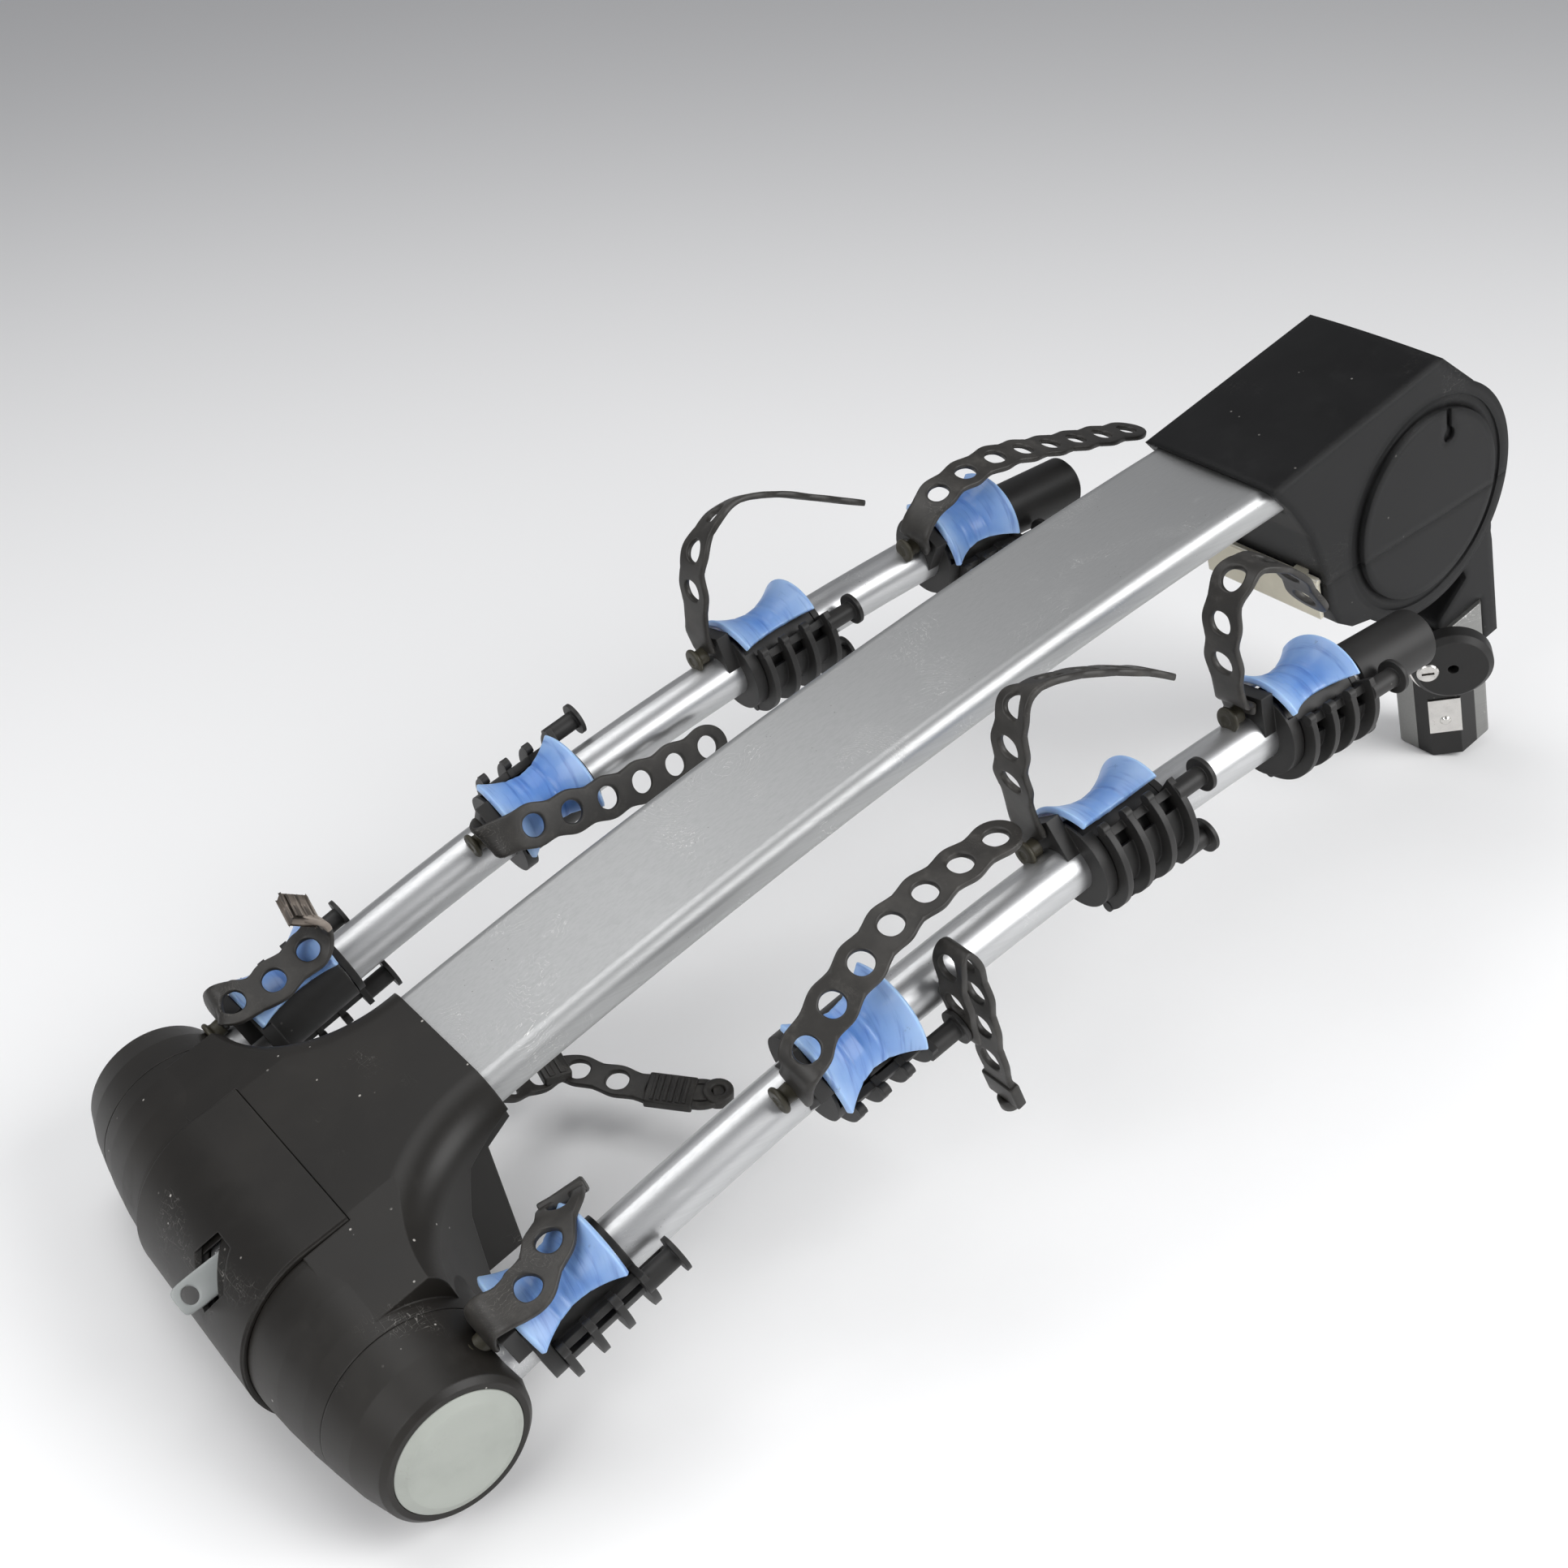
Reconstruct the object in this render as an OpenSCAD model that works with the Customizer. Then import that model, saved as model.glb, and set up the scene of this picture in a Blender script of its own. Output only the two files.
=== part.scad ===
// Hanging-arm hitch rack for four bicycles, folded and lying on the floor.
// The mast runs up from the arm head to the pivot housing. The hitch tube points
// down to the floor. The two arms lie folded beside the mast.
// Sizes are in millimetres, Z is up and the floor is at Z = 0.

/* [Mast] */
// Width of the flat mast
mast_width = 100; // [80:1:120]
// Thickness of the mast
mast_thick = 24; // [18:1:32]
// Wall of the mast extrusion
mast_wall = 3; // [2:0.5:5]
// Radius of the mast edges
mast_edge = 9; // [4:0.5:11]
// Distance between the arm axis and the front of the pivot housing
mast_span = 708; // [650:1:760]
// Height of the mast face above the arm axis at both ends
mast_rise = 51.4; // [48:0.2:56]
// Bow of the mast at its middle
mast_bow = 16.4; // [8:0.2:24]

/* [Arms] */
// Outer diameter of an arm tube
arm_tube = 31.75; // [28:0.25:36]
// Wall of an arm tube
arm_wall = 2.4; // [1.5:0.1:4]
// Distance from the middle plane to each arm
arm_side = 153; // [145:1:165]
// Radius of the bow of an arm
arm_bow_radius = 2092; // [1600:1:3000]
// Place of the highest point of an arm
arm_crown = 302; // [250:1:350]
// Height of the arm crown above the arm axis
arm_crown_rise = 23; // [15:0.5:30]
// Place where the arm tube ends
arm_end = 732; // [715:1:745]
// Length of the tip cap
tip_length = 63.5; // [50:0.5:75]
// Outer diameter of the tip cap
tip_width = 38; // [35:0.5:44]
// Play between the tip cap and the tube
tip_play = 0.1; // [0:0.05:0.3]

/* [Cradles] */
// Places of the four cradles on the near arm
near_stations = [87, 281, 479, 629];
// Places of the four cradles on the far arm
far_stations = [94, 281, 469, 634];
// Length of a saddle along the arm
saddle_length = 57; // [50:1:64]
// Radius of the saddle at its ends
saddle_end_radius = 33.5; // [30:0.5:34]
// Radius of the saddle at its middle
saddle_mid_radius = 27; // [25:0.5:30]
// Half of the angle that a saddle covers
saddle_half_angle = 53.5; // [45:0.5:62]
// Width of the grooves round a saddle
groove_width = 2.4; // [1.2:0.2:4]
// Outer radius of the clamp sleeve
sleeve_radius = 22; // [20:0.5:24]
// Play between the clamp sleeve and the tube
sleeve_play = 0.08; // [0:0.02:0.2]
// Radius of the clamp collar
collar_radius = 28; // [25:0.5:31]
// Length of the clamp collar
collar_length = 8; // [4:0.5:10]
// Width of the strap anchor block
anchor_width = 30; // [24:1:34]
// Height of the strap anchor block above the tube axis
anchor_height = 31; // [28:0.5:34]
// Length of the strap anchor block along the arm
anchor_length = 9; // [6:0.5:9]

/* [Swivel cages] */
// Inner radius of the cage ribs
cage_inner = 24; // [23:0.1:26]
// Outer radius of the cage ribs
cage_outer = 35.5; // [33:0.5:38]
// Thickness of one rib
rib_thick = 4; // [2.5:0.5:6]
// Distance between ribs
rib_pitch = 17; // [14:0.5:19]
// Half of the angle that a rib covers
rib_half_angle = 60; // [45:1:62]
// Radius of the rounded lobes at the rib ends
lobe_radius = 3.5; // [2:0.25:5]
// Thickness of the cage end ring
ring_thick = 4.5; // [3:0.5:7]
// Play between the cage ring and the tube
ring_play = 0.08; // [0.04:0.01:0.1]
// Radius of a spool peg
peg_radius = 6; // [4:0.25:7]
// Length of a spool peg
peg_length = 19; // [10:0.5:22]
// Radius of the spool peg flange
peg_flange = 10.5; // [8:0.25:11]
// Thickness of the spool peg flange
peg_flange_thick = 2.6; // [1.5:0.1:4]

/* [Straps] */
// Width of a ladder strap
strap_width = 26; // [18:1:28]
// Thickness of a ladder strap
strap_thick = 4; // [2.5:0.25:6]

/* [Arm head] */
// Radius of the head barrel at its middle
barrel_radius = 58; // [54:0.5:62]
// Radius of the barrel at the seam to the arm hub
seam_radius = 51.6; // [48:0.2:54]
// Distance from the middle plane to the hub seam
seam_side = 132.5; // [126:0.5:138]
// Gap between barrel and hub
seam_gap = 0.6; // [0.3:0.1:1.2]
// Distance from the middle plane to the hub end
hub_side = 178; // [172:0.5:184]
// Radius of the hub at its outer end
hub_end_radius = 41; // [38:0.5:46]
// Wall of the hub and head shells
shell_wall = 4; // [3:0.25:5]
// Radius of the round end cap
end_cap_radius = 36; // [32:0.5:38]
// How far the round end cap stands out of the hub
end_cap_proud = 3; // [1:0.25:5]
// Outer diameter of the head axle
axle_width = 40; // [34:0.5:44]
// Wall of the head axle
axle_wall = 4; // [2.5:0.25:6]
// Play between the axle and an arm hub
axle_play = 0.05; // [0.02:0.01:0.1]
// Play between the mast and its sockets
socket_play = 0.25; // [0.1:0.05:0.5]
// Place of the front rim of the mast socket
socket_reach = 128; // [118:1:136]
// Half of the width of the mast socket
socket_half = 61; // [56:0.5:66]
// Height of the head top face above the arm axis
head_top = 59.6; // [58:0.2:62]
// Radius of the hollow flank between socket and barrel
flank_radius = 77; // [70:1:90]
// Rounding of the head top edge
head_round = 23; // [14:0.5:26]

/* [Fold lever] */
// Half of the width of the fold lever
lever_half = 66; // [56:0.5:72]
// Outer radius of the fold lever
lever_radius = 61.4; // [60.6:0.2:64]
// Thickness of the fold lever
lever_thick = 3; // [2:0.1:3.2]
// Where the fold lever ends on the head top
lever_rear = 27; // [20:0.5:32]
// Gap round the fold lever
lever_gap = 0.5; // [0.3:0.1:1]
// Angle from the rear to the lever's lower edge
lever_low_angle = 200; // [180:1:212]

// Width of the lock loop
loop_width = 20; // [14:0.5:24]
// Width of the slot in the lock loop
loop_slot = 10.6; // [6:0.2:13]
// Thickness of the lock loop
loop_thick = 6; // [4:0.5:8]

/* [Pivot housing] */
// Place of the housing front
base_front = 728; // [722:1:736]
// Place of the pivot axis along the mast
pivot_x = 867; // [860:1:875]
// Depth of the pivot axis below the arm axis level
pivot_drop = 47; // [40:1:54]
// Outer radius of the housing round the pivot
base_radius = 85; // [80:0.5:92]
// Half of the width of the housing
base_half = 55; // [53.5:0.5:60]
// Wall of the housing shells
base_wall = 3; // [2:0.25:5]
// Height of the housing top edge at the front
base_front_rise = 54.5; // [53:0.5:58]
// Height of the housing top edge at the rear
base_rear_rise = 57.5; // [54:0.5:62]
// Radius of the raised side disc
disc_radius = 67; // [58:0.5:72]
// How far the side disc stands out
disc_proud = 3; // [1:0.25:5]
// Width of the groove round the side disc
disc_groove = 9; // [4:0.5:12]
// Thickness of a yoke cheek
cheek_thick = 5; // [3:0.5:8]
// Diameter of the pivot pin
pin_width = 18; // [12:0.5:24]
// Thickness of the hinge bead on the tilt release
hinge_bead = 4.2; // [3.6:0.1:4.6]
// Play of the pivot pin
pin_play = 0.05; // [0.02:0.01:0.1]

/* [Hitch] */
// Outer size of the square hitch tube
tube_size = 50.8; // [48:0.2:52]
// Wall of the hitch tube
tube_wall = 5; // [3:0.25:7]
// Corner radius of the hitch tube
tube_corner = 7; // [4:0.25:10]
// Place of the hitch tube along the mast
tube_x = 928; // [920:1:936]
// Depth of the lower tube end below the arm axis level
tube_low = 333; // [325:1:340]
// Depth of the upper tube end below the arm axis level
tube_high = 205; // [195:1:215]
// Half of the width of the gooseneck
neck_half = 22; // [18:0.5:25]
// Thickness of the gooseneck behind the tube
neck_thick = 26; // [20:0.5:30]
// Width of the flat face of the corner wedge
wedge_face = 22; // [16:0.5:28]
// Height of the corner wedge
wedge_height = 92; // [70:1:100]
// Radius of the hitch knob
knob_radius = 29; // [24:0.5:32]
// Length of the hitch knob
knob_length = 26; // [18:0.5:32]
// Height of the knob axis above the lower tube end
knob_rise = 118; // [100:1:128]
// Radius of the knob stem
stem_radius = 5; // [4:0.25:7]
// Play of the knob stem in its bore
stem_play = 0.08; // [0.02:0.01:0.1]
// Radius of the draw rod behind the wedge
rod_radius = 3.5; // [2.5:0.25:4.5]
// Radius of the lock barrel in the knob
lock_radius = 8; // [6:0.25:10]
// Thickness of the wire clip on the knob
wire_width = 2.4; // [1.5:0.1:3.5]

/* [Hidden] */
$fn = 64;
eps = 0.01;
near = -1;
far = 1;

// Colours of the finishes
bare_metal = [0.72, 0.73, 0.74];
black_shell = [0.16, 0.155, 0.15];
rubber_black = [0.1, 0.1, 0.1];
saddle_blue = [0.45, 0.6, 0.85];
cap_grey = [0.78, 0.8, 0.78];
bright_steel = [0.82, 0.8, 0.77];
cast_grey = [0.5, 0.5, 0.5];

// The rack leans so that the barrel and the edge of the hitch tube stand on the floor
foot_x = tube_x - tube_size / 2;
foot_reach = sqrt(foot_x * foot_x + tube_low * tube_low);
lean = asin(-barrel_radius / foot_reach) + atan2(tube_low, foot_x);
frame_shift = -466.546;

module lay() translate([frame_shift, 0, barrel_radius]) rotate([0, -lean, 0]) children();

// Mast bow
mast_arc = mast_span * mast_span / 8 / mast_bow + mast_bow / 2;
mast_mid = mast_span / 2;
mast_arc_z = mast_rise + mast_bow - mast_arc;
function mast_top(x) = mast_arc_z + sqrt(mast_arc * mast_arc - (x - mast_mid) * (x - mast_mid));
mast_from = 66;
mast_to = 792;

// Arm bow
arm_arc_z = arm_crown_rise - arm_bow_radius;
function arm_rise(x) = arm_arc_z + sqrt(arm_bow_radius * arm_bow_radius - (x - arm_crown) * (x - arm_crown));
function arm_pitch(x) = asin((x - arm_crown) / arm_bow_radius);
tube_r = arm_tube / 2;

module at_arm(x, side) translate([x, side * arm_side, arm_rise(x)]) rotate([0, arm_pitch(x), 0]) children();

// A bar bent to a large radius in the upright plane, its section given as [radial, side]
module bow(radius, x_mid, z_mid, x_from, x_to) {
    a_low = 90 - asin((x_to - x_mid) / radius);
    a_high = 90 - asin((x_from - x_mid) / radius);
    translate([x_mid, 0, z_mid]) rotate([90, 0, 0]) rotate([0, 0, a_low])
        rotate_extrude(angle = a_high - a_low, $fn = 200) translate([radius, 0]) children();
}

module round_rect(w, h, r) {
    square([w - 2 * r, h], center = true);
    square([w, h - 2 * r], center = true);
    for (x = [-1, 1], y = [-1, 1])
        translate([x * (w / 2 - r), y * (h / 2 - r)]) circle(r);
}

// A ring sector round the arm, from one angle to another, zero pointing up
module sector(r_in, r_out, x_from, x_to, a_mid, a_half) {
    rotate([a_mid, 0, 0]) rotate([0, 90, 0]) rotate([0, 0, 180 - a_half])
        rotate_extrude(angle = 2 * a_half) translate([r_in, x_from]) square([r_out - r_in, x_to - x_from]);
}

module ring_x(r_in, r_out, x_from, x_to) {
    rotate([0, 90, 0]) translate([0, 0, x_from]) difference() {
        cylinder(r = r_out, h = x_to - x_from);
        translate([0, 0, -1]) cylinder(r = r_in, h = x_to - x_from + 2);
    }
}

module along_y(r, y_from, y_to) rotate([-90, 0, 0]) translate([0, 0, y_from]) cylinder(r = r, h = y_to - y_from);

// Hitch
module hitch_tube() color(bare_metal) lay() {
    translate([tube_x, 0, -tube_low]) difference() {
        linear_extrude(tube_low - tube_high) round_rect(tube_size, tube_size, tube_corner);
        translate([0, 0, -1]) linear_extrude(tube_low - tube_high + 2)
            round_rect(tube_size - 2 * tube_wall, tube_size - 2 * tube_wall, tube_corner - tube_wall + 1);
        wedge_room();
        knob_stem_bore(stem_radius + stem_play);
    }
}

// The corner that the wedge takes, in the frame of the tube's lower end
module wedge_outline(grow) polygon([
    [-tube_size / 2, 4 + grow], [-tube_size / 2, -tube_size / 2 + wedge_flat], [-tube_size / 2 + wedge_flat, -tube_size / 2],
    [7 + grow, -tube_size / 2], [7 + grow, -tube_size / 2 + tube_wall + 0.4],
    [-tube_size / 2 + tube_wall + 0.4, 4 + grow]
]);
wedge_flat = wedge_face / sqrt(2);
wedge_depth = (tube_size - wedge_flat) / sqrt(2);
module wedge_room() translate([0, 0, -1]) linear_extrude(wedge_height + 1.3) polygon([
    [-40, 4.3], [-40, -40], [7.3, -40], [7.3, -tube_size / 2 + tube_wall + 1], [-tube_size / 2 + tube_wall + 1, 4.3]
]);

knob_offset = 6;
module knob_stem_bore(r) translate([0, 0, knob_rise]) rotate([0, 0, 225]) translate([0, knob_offset, 0]) rotate([0, 90, 0])
    cylinder(r = r, h = 60);

module corner_wedge() color(rubber_black) lay() translate([tube_x, 0, -tube_low]) difference() {
    linear_extrude(wedge_height) wedge_outline(0);
    rotate([0, 0, 225]) translate([wedge_depth - 1.2, -12.1, 24]) cube([5, 24.2, 34]);
    rotate([0, 0, 225]) translate([0, 0, 36]) rotate([0, 90, 0]) cylinder(r = 2.6, h = 60);
    at_rod() cylinder(r = rod_radius + 0.05, h = 60);
}

rod_place = 17;
module at_rod() rotate([0, 0, 225]) translate([rod_place, knob_offset, wedge_height - 26]) children();

module draw_rod() color(bare_metal) lay() translate([tube_x, 0, -tube_low]) at_rod()
    cylinder(r = rod_radius, h = knob_rise - stem_radius - 0.2 - wedge_height + 26);

module wedge_plate() color(bright_steel) lay() translate([tube_x, 0, -tube_low]) rotate([0, 0, 225])
    difference() {
        translate([wedge_depth - 1.2, -12, 24.1]) cube([2.4, 24, 33]);
        translate([0, 0, 36]) rotate([0, 90, 0]) cylinder(r = 2.6, h = 60);
    }

module wedge_rivet() color(bright_steel) lay() translate([tube_x, 0, -tube_low]) rotate([0, 0, 225])
    translate([0, 0, 36]) rotate([0, 90, 0]) {
        translate([0, 0, 16]) cylinder(r = 2.55, h = wedge_depth - 16 + 1.3);
        translate([0, 0, wedge_depth + 1.25]) cylinder(r1 = 4.2, r2 = 2.6, h = 1.6);
    }

// Gooseneck in the frame of the rack
neck_x = tube_x + tube_size / 2 - 10;
module hitch_bracket() color(black_shell) lay() difference() {
    union() {
        translate([pivot_x, 0, -pivot_drop]) along_y(34, -neck_half - 6, neck_half + 6);
        rotate([90, 0, 0]) linear_extrude(2 * neck_half, center = true) {
            polygon([
                [pivot_x - 20, -pivot_drop - 26], [pivot_x + 24, -pivot_drop + 22],
                [neck_top_x + 14, -126], [neck_top_x + 22, -150], [neck_x + neck_thick, -160],
                [neck_x + neck_thick, -246], [neck_x + 10.2, -246], [neck_x + 10.2, -tube_high],
                [tube_x - 22, -tube_high], [tube_x - 22, -196], [neck_x - 4, -176], [neck_x - 14, -140]
            ]);
            translate([neck_top_x, -146]) circle(23);
        }
        translate([tube_x, 0, -tube_high - 22]) linear_extrude(22.1)
            round_rect(tube_size - 2 * tube_wall - 0.4, tube_size - 2 * tube_wall - 0.4, 3);
    }
    translate([pivot_x, 0, -pivot_drop]) along_y(pin_width / 2 + pin_play, -60, 60);
    translate([tube_x, 0, -tube_low]) knob_stem_bore(stem_radius + stem_play);
    translate([tube_x, 0, -tube_low]) at_rod() cylinder(r = rod_radius + 0.2, h = knob_rise - wedge_height + 26);
}
neck_top_x = neck_x + neck_thick - 23;

module pivot_pin() color(bare_metal) lay() translate([pivot_x, 0, -pivot_drop]) {
    along_y(pin_width / 2, -neck_half - 6 - 5 - cheek_thick, neck_half + 6 + 5 + cheek_thick);
}

// Knob on the near front corner of the tube
knob_foot = tube_size / 2 * sqrt(2) - 2.2;
module at_knob() lay() translate([tube_x, 0, -tube_low + knob_rise]) rotate([0, 0, 225])
    translate([0, knob_offset, 0]) rotate([0, 90, 0]) children();

lock_place = -18;
module hitch_knob() color(black_shell) at_knob() difference() {
    union() {
        translate([0, 0, knob_foot + 0.8]) cylinder(r = 13, h = 8);
        translate([0, 0, knob_foot + 8]) cylinder(r1 = knob_radius - 5, r2 = knob_radius, h = 6);
        translate([0, 0, knob_foot + 14]) cylinder(r = knob_radius, h = knob_length - 16);
        translate([0, 0, knob_foot + knob_length - 2]) cylinder(r1 = knob_radius, r2 = knob_radius - 4, h = 4);
        translate([0, 0, 8]) cylinder(r = stem_radius, h = knob_foot - 6);
    }
    translate([0, 0, knob_foot + knob_length - 8]) cylinder(r = 4, h = 12);
    translate([0, lock_place, knob_foot + 10]) cylinder(r = lock_radius + 0.05, h = 30);
}

module knob_lock() color(bright_steel) at_knob() translate([0, lock_place, 0]) difference() {
    union() {
        translate([0, 0, knob_foot + 10.3]) cylinder(r = lock_radius, h = knob_length - 10 + 2.6);
        translate([0, 0, knob_foot + knob_length + 2.9]) cylinder(r1 = lock_radius, r2 = lock_radius - 1, h = 1);
    }
    translate([-1, -4.5, knob_foot + knob_length - 2]) cube([2, 9, 10]);
}

module knob_wire() color(bright_steel) at_knob() translate([0, 0, knob_foot + 19]) rotate([0, 0, -140])
    rotate_extrude(angle = 150, $fn = 96) translate([knob_radius + wire_width / 2 + 0.1, 0]) circle(wire_width / 2, $fn = 24);

// Mast
module mast_section(grow) translate([-mast_thick / 2, 0])
    round_rect(mast_thick - 2 * grow, mast_width - 2 * grow, mast_edge - grow);

module mast() color(bare_metal) lay() difference() {
    bow(mast_arc, mast_mid, mast_arc_z, mast_from, mast_to) difference() {
        mast_section(0);
        difference() {
            mast_section(mast_wall);
            for (y = [-1, 1]) translate([-mast_thick / 2, y * 16]) square([mast_thick, 2.4], center = true);
        }
    }
    for (x = [mast_from + 20, mast_to - 28], y = [-28, 28]) translate([x, y, 0]) cylinder(r = 4.1, h = 90);
}

// Arms
module arm_tube_solid(side) color(bare_metal) lay() translate([0, side * arm_side, 0])
    bow(arm_bow_radius, arm_crown, arm_arc_z, 22, arm_end - 2) difference() {
        circle(tube_r);
        circle(tube_r - arm_wall);
    }

module near_arm_tube() arm_tube_solid(near);
module far_arm_tube() arm_tube_solid(far);

module tip_cap(side) color(black_shell) lay() difference() {
    at_arm(arm_end, side) {
        rotate([0, -90, 0]) cylinder(d = tip_width, h = tip_length);
        rotate([0, 90, 0]) cylinder(r1 = tip_width / 2, r2 = tip_width / 2 - 2.5, h = 2.5);
    }
    translate([0, side * arm_side, 0])
        bow(arm_bow_radius, arm_crown, arm_arc_z, 640, arm_end - 1.8) circle(tube_r + tip_play);
}

module near_tip_cap() tip_cap(near);
module far_tip_cap() tip_cap(far);

// Hubs turn on the head axle
module hub_profile(grow) polygon([
    [0, seam_side + seam_gap + grow], [seam_radius - grow, seam_side + seam_gap + grow],
    [(seam_radius + hub_end_radius) / 2 + 1.6 - grow, (seam_side + hub_side) / 2],
    [hub_end_radius + 1.6 - grow, hub_side - 3 - grow], [hub_end_radius - 1.5 - grow, hub_side - grow], [0, hub_side - grow]
]);

module hub(side) color(black_shell) lay() difference() {
    rotate([-90 * side, 0, 0]) rotate_extrude($fn = 128) difference() {
        hub_profile(0);
        translate([0, hub_side - 5]) square([end_cap_radius + 0.3, 6]);
        translate([0, seam_side - 1]) square([axle_width / 2 + axle_play, hub_side - seam_side - 12]);
    }
    translate([0, side * arm_side, 0])
        bow(arm_bow_radius, arm_crown, arm_arc_z, 21.9, 80) circle(tube_r + 0.02);
}

module near_hub() hub(near);
module far_hub() hub(far);

module end_cap(side) color(cap_grey) lay() rotate([-90 * side, 0, 0]) rotate_extrude($fn = 128) polygon([
    [0, hub_side - 5], [end_cap_radius, hub_side - 5], [end_cap_radius, hub_side + 0.4],
    [end_cap_radius - 5.6, hub_side + end_cap_proud], [0, hub_side + end_cap_proud]
]);

module near_end_cap() end_cap(near);
module far_end_cap() end_cap(far);

// Head
module barrel_profile(grow) {
    for (s = [-1, 1]) polygon([
        [0, 0], [barrel_radius - grow, 0], [barrel_radius - grow, s * (lever_half + 6)],
        [barrel_radius - 1.6 - grow, s * (lever_half + 30)], [seam_radius + 2.2 - grow, s * (seam_side - 14)],
        [seam_radius - grow, s * (seam_side - grow)], [0, s * (seam_side - grow)]
    ]);
}

neck_slope = 2;
module tilt_neck() rotate([0, -neck_slope, 0]) children();

module flank_cut(s) translate([socket_reach - 6, s * (socket_half + flank_radius), 0]) rotate_extrude($fn = 180)
    difference() {
        translate([0, -80]) square([flank_radius + head_round, 180]);
        translate([flank_radius, -81]) square([head_round + 1, 81 + head_top - head_round]);
        translate([flank_radius + head_round, head_top - head_round]) circle(head_round);
    }

// Half width of the neck block, clear of the clamp collars as the arms fold
neck_side = arm_side - collar_radius - 0.5;
module neck_block() tilt_neck() difference() {
    rotate([90, 0, 0]) linear_extrude(2 * neck_side, center = true) polygon([
        [0, 0], [0, head_top], [socket_reach, head_top], [socket_reach, 42], [106, 34], [94, 31],
        [80, 10], [66, -43], [40, -46]
    ]);
    flank_cut(-1);
    flank_cut(1);
    for (s = [-1, 1]) translate([-1, s * (lever_half - 4), head_top]) rotate([-s * 6.6, 0, 0])
        translate([0, s > 0 ? 0 : -100, 0]) cube([200, 100, 40]);
}

module head_outside() {
    rotate([-90, 0, 0]) rotate_extrude($fn = 128) barrel_profile(0);
    neck_block();
}

module head_inside() {
    rotate([-90, 0, 0]) rotate_extrude($fn = 128) barrel_profile(shell_wall);
    tilt_neck() translate([0, -mast_width / 2 - 4, -60]) cube([socket_reach + 9, mast_width + 8, head_top - shell_wall - 5 + 60]);
}

// Release panel round the front of the barrel, angles from the rear over the top
module lever_body(r_out, half, r_in, spare) rotate([90, 0, 0]) {
    rotate([0, 0, 90]) rotate_extrude(angle = lever_low_angle - 90 + spare, $fn = 128)
        translate([r_in, -half]) square([r_out - r_in, 2 * half]);
    translate([0, 0, -half]) linear_extrude(2 * half)
        polygon([[0, r_in], [0, r_out], [lever_rear + spare, r_out], [lever_rear + spare, r_in]]);
}

module head_cover() color(black_shell) lay() difference() {
    head_outside();
    head_inside();
    lever_body(lever_radius + 4, lever_half + lever_gap, barrel_radius - 0.3, lever_gap);
    bow(mast_arc, mast_mid, mast_arc_z, 40, socket_reach + 20) translate([-mast_thick / 2, 0])
        round_rect(mast_thick + 2 * socket_play, mast_width + 2 * socket_play, mast_edge + socket_play);
    along_y(axle_width / 2 + 0.02, -seam_side - 1, seam_side + 1);
    at_loop() translate([-13, 0, 0]) cube([2 * loop_room + 10, loop_width + 6, loop_thick + 7], center = true);
}

// Shell that closes the underside of the head
module head_underside() color(black_shell) lay() difference() {
    tilt_neck() rotate([90, 0, 0]) linear_extrude(2 * socket_half - 5, center = true) polygon([
        [127, 41.7], [127, 35], [109, 27], [97, -50], [70, -50], [66.4, -43], [80.4, 10], [94.3, 30.7], [106, 33.7]
    ]);
    tilt_neck() rotate([90, 0, 0]) linear_extrude(2 * socket_half - 5 - 2 * shell_wall, center = true) polygon([
        [104, 60], [104, 24], [93, -46], [60, -60], [60, 60]
    ]);
    bow(mast_arc, mast_mid, mast_arc_z, 40, socket_reach + 20) translate([-mast_thick / 2, 0])
        round_rect(mast_thick + 2 * socket_play, mast_width + 2 * socket_play, mast_edge + socket_play);
}

// Lock loop that comes out through the release panel
module at_loop() translate([-50, -17, 38]) rotate([41, 0, 0]) children();

loop_room = 34;
module fold_lever() color(black_shell) lay() difference() {
    union() {
        lever_body(lever_radius, lever_half - 1.4, barrel_radius + 0.15, 0);
        lever_body(lever_radius - 1, lever_half, barrel_radius + 0.15, 0);
    }
    at_loop() translate([-10, 2.6, 7]) cube([2 * loop_room, loop_width + 8, loop_thick + 17], center = true);
}

module lock_loop() color(cap_grey) lay() at_loop() difference() {
    union() {
        translate([-10, -loop_width / 2, -loop_thick / 2]) cube([50, loop_width, loop_thick]);
        translate([-10, 0, -loop_thick / 2]) linear_extrude(loop_thick) round_rect(12, loop_width, 5);
    }
    for (x = [-7, 0]) translate([x, 0, -20]) cylinder(r = loop_slot / 2, h = 40);
    translate([-7, -loop_slot / 2, -20]) cube([7, loop_slot, 40]);
}

module head_core() color(cast_grey) lay() difference() {
    union() {
        along_y(axle_width / 2 + 9, -40, 40);
        tilt_neck() translate([0, -mast_width / 2 + 2, -16]) cube([mast_from - 2, mast_width - 4, 50]);
        intersection() {
            translate([mast_from - 6, -14, 0]) cube([46, 28, 80]);
            bow(mast_arc, mast_mid, mast_arc_z, 50, 140) translate([-mast_thick / 2, 0])
                square([mast_thick - 2 * mast_wall - 0.4, 29], center = true);
        }
        intersection() {
            at_loop() translate([14, -loop_width / 2 - 3, -loop_thick / 2 - 3]) cube([36, loop_width + 6, loop_thick + 6]);
            along_y(barrel_radius - shell_wall - 0.4, -60, 60);
        }
    }
    along_y(axle_width / 2 + 0.02, -60, 60);
    at_loop() translate([-10, -loop_width / 2 - 0.05, -loop_thick / 2 - 0.05]) cube([50.1, loop_width + 0.1, loop_thick + 0.1]);
}

module head_axle() color(bare_metal) lay() difference() {
    along_y(axle_width / 2, -hub_side + 13, hub_side - 13);
    along_y(axle_width / 2 - axle_wall, -200, 200);
}

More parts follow.
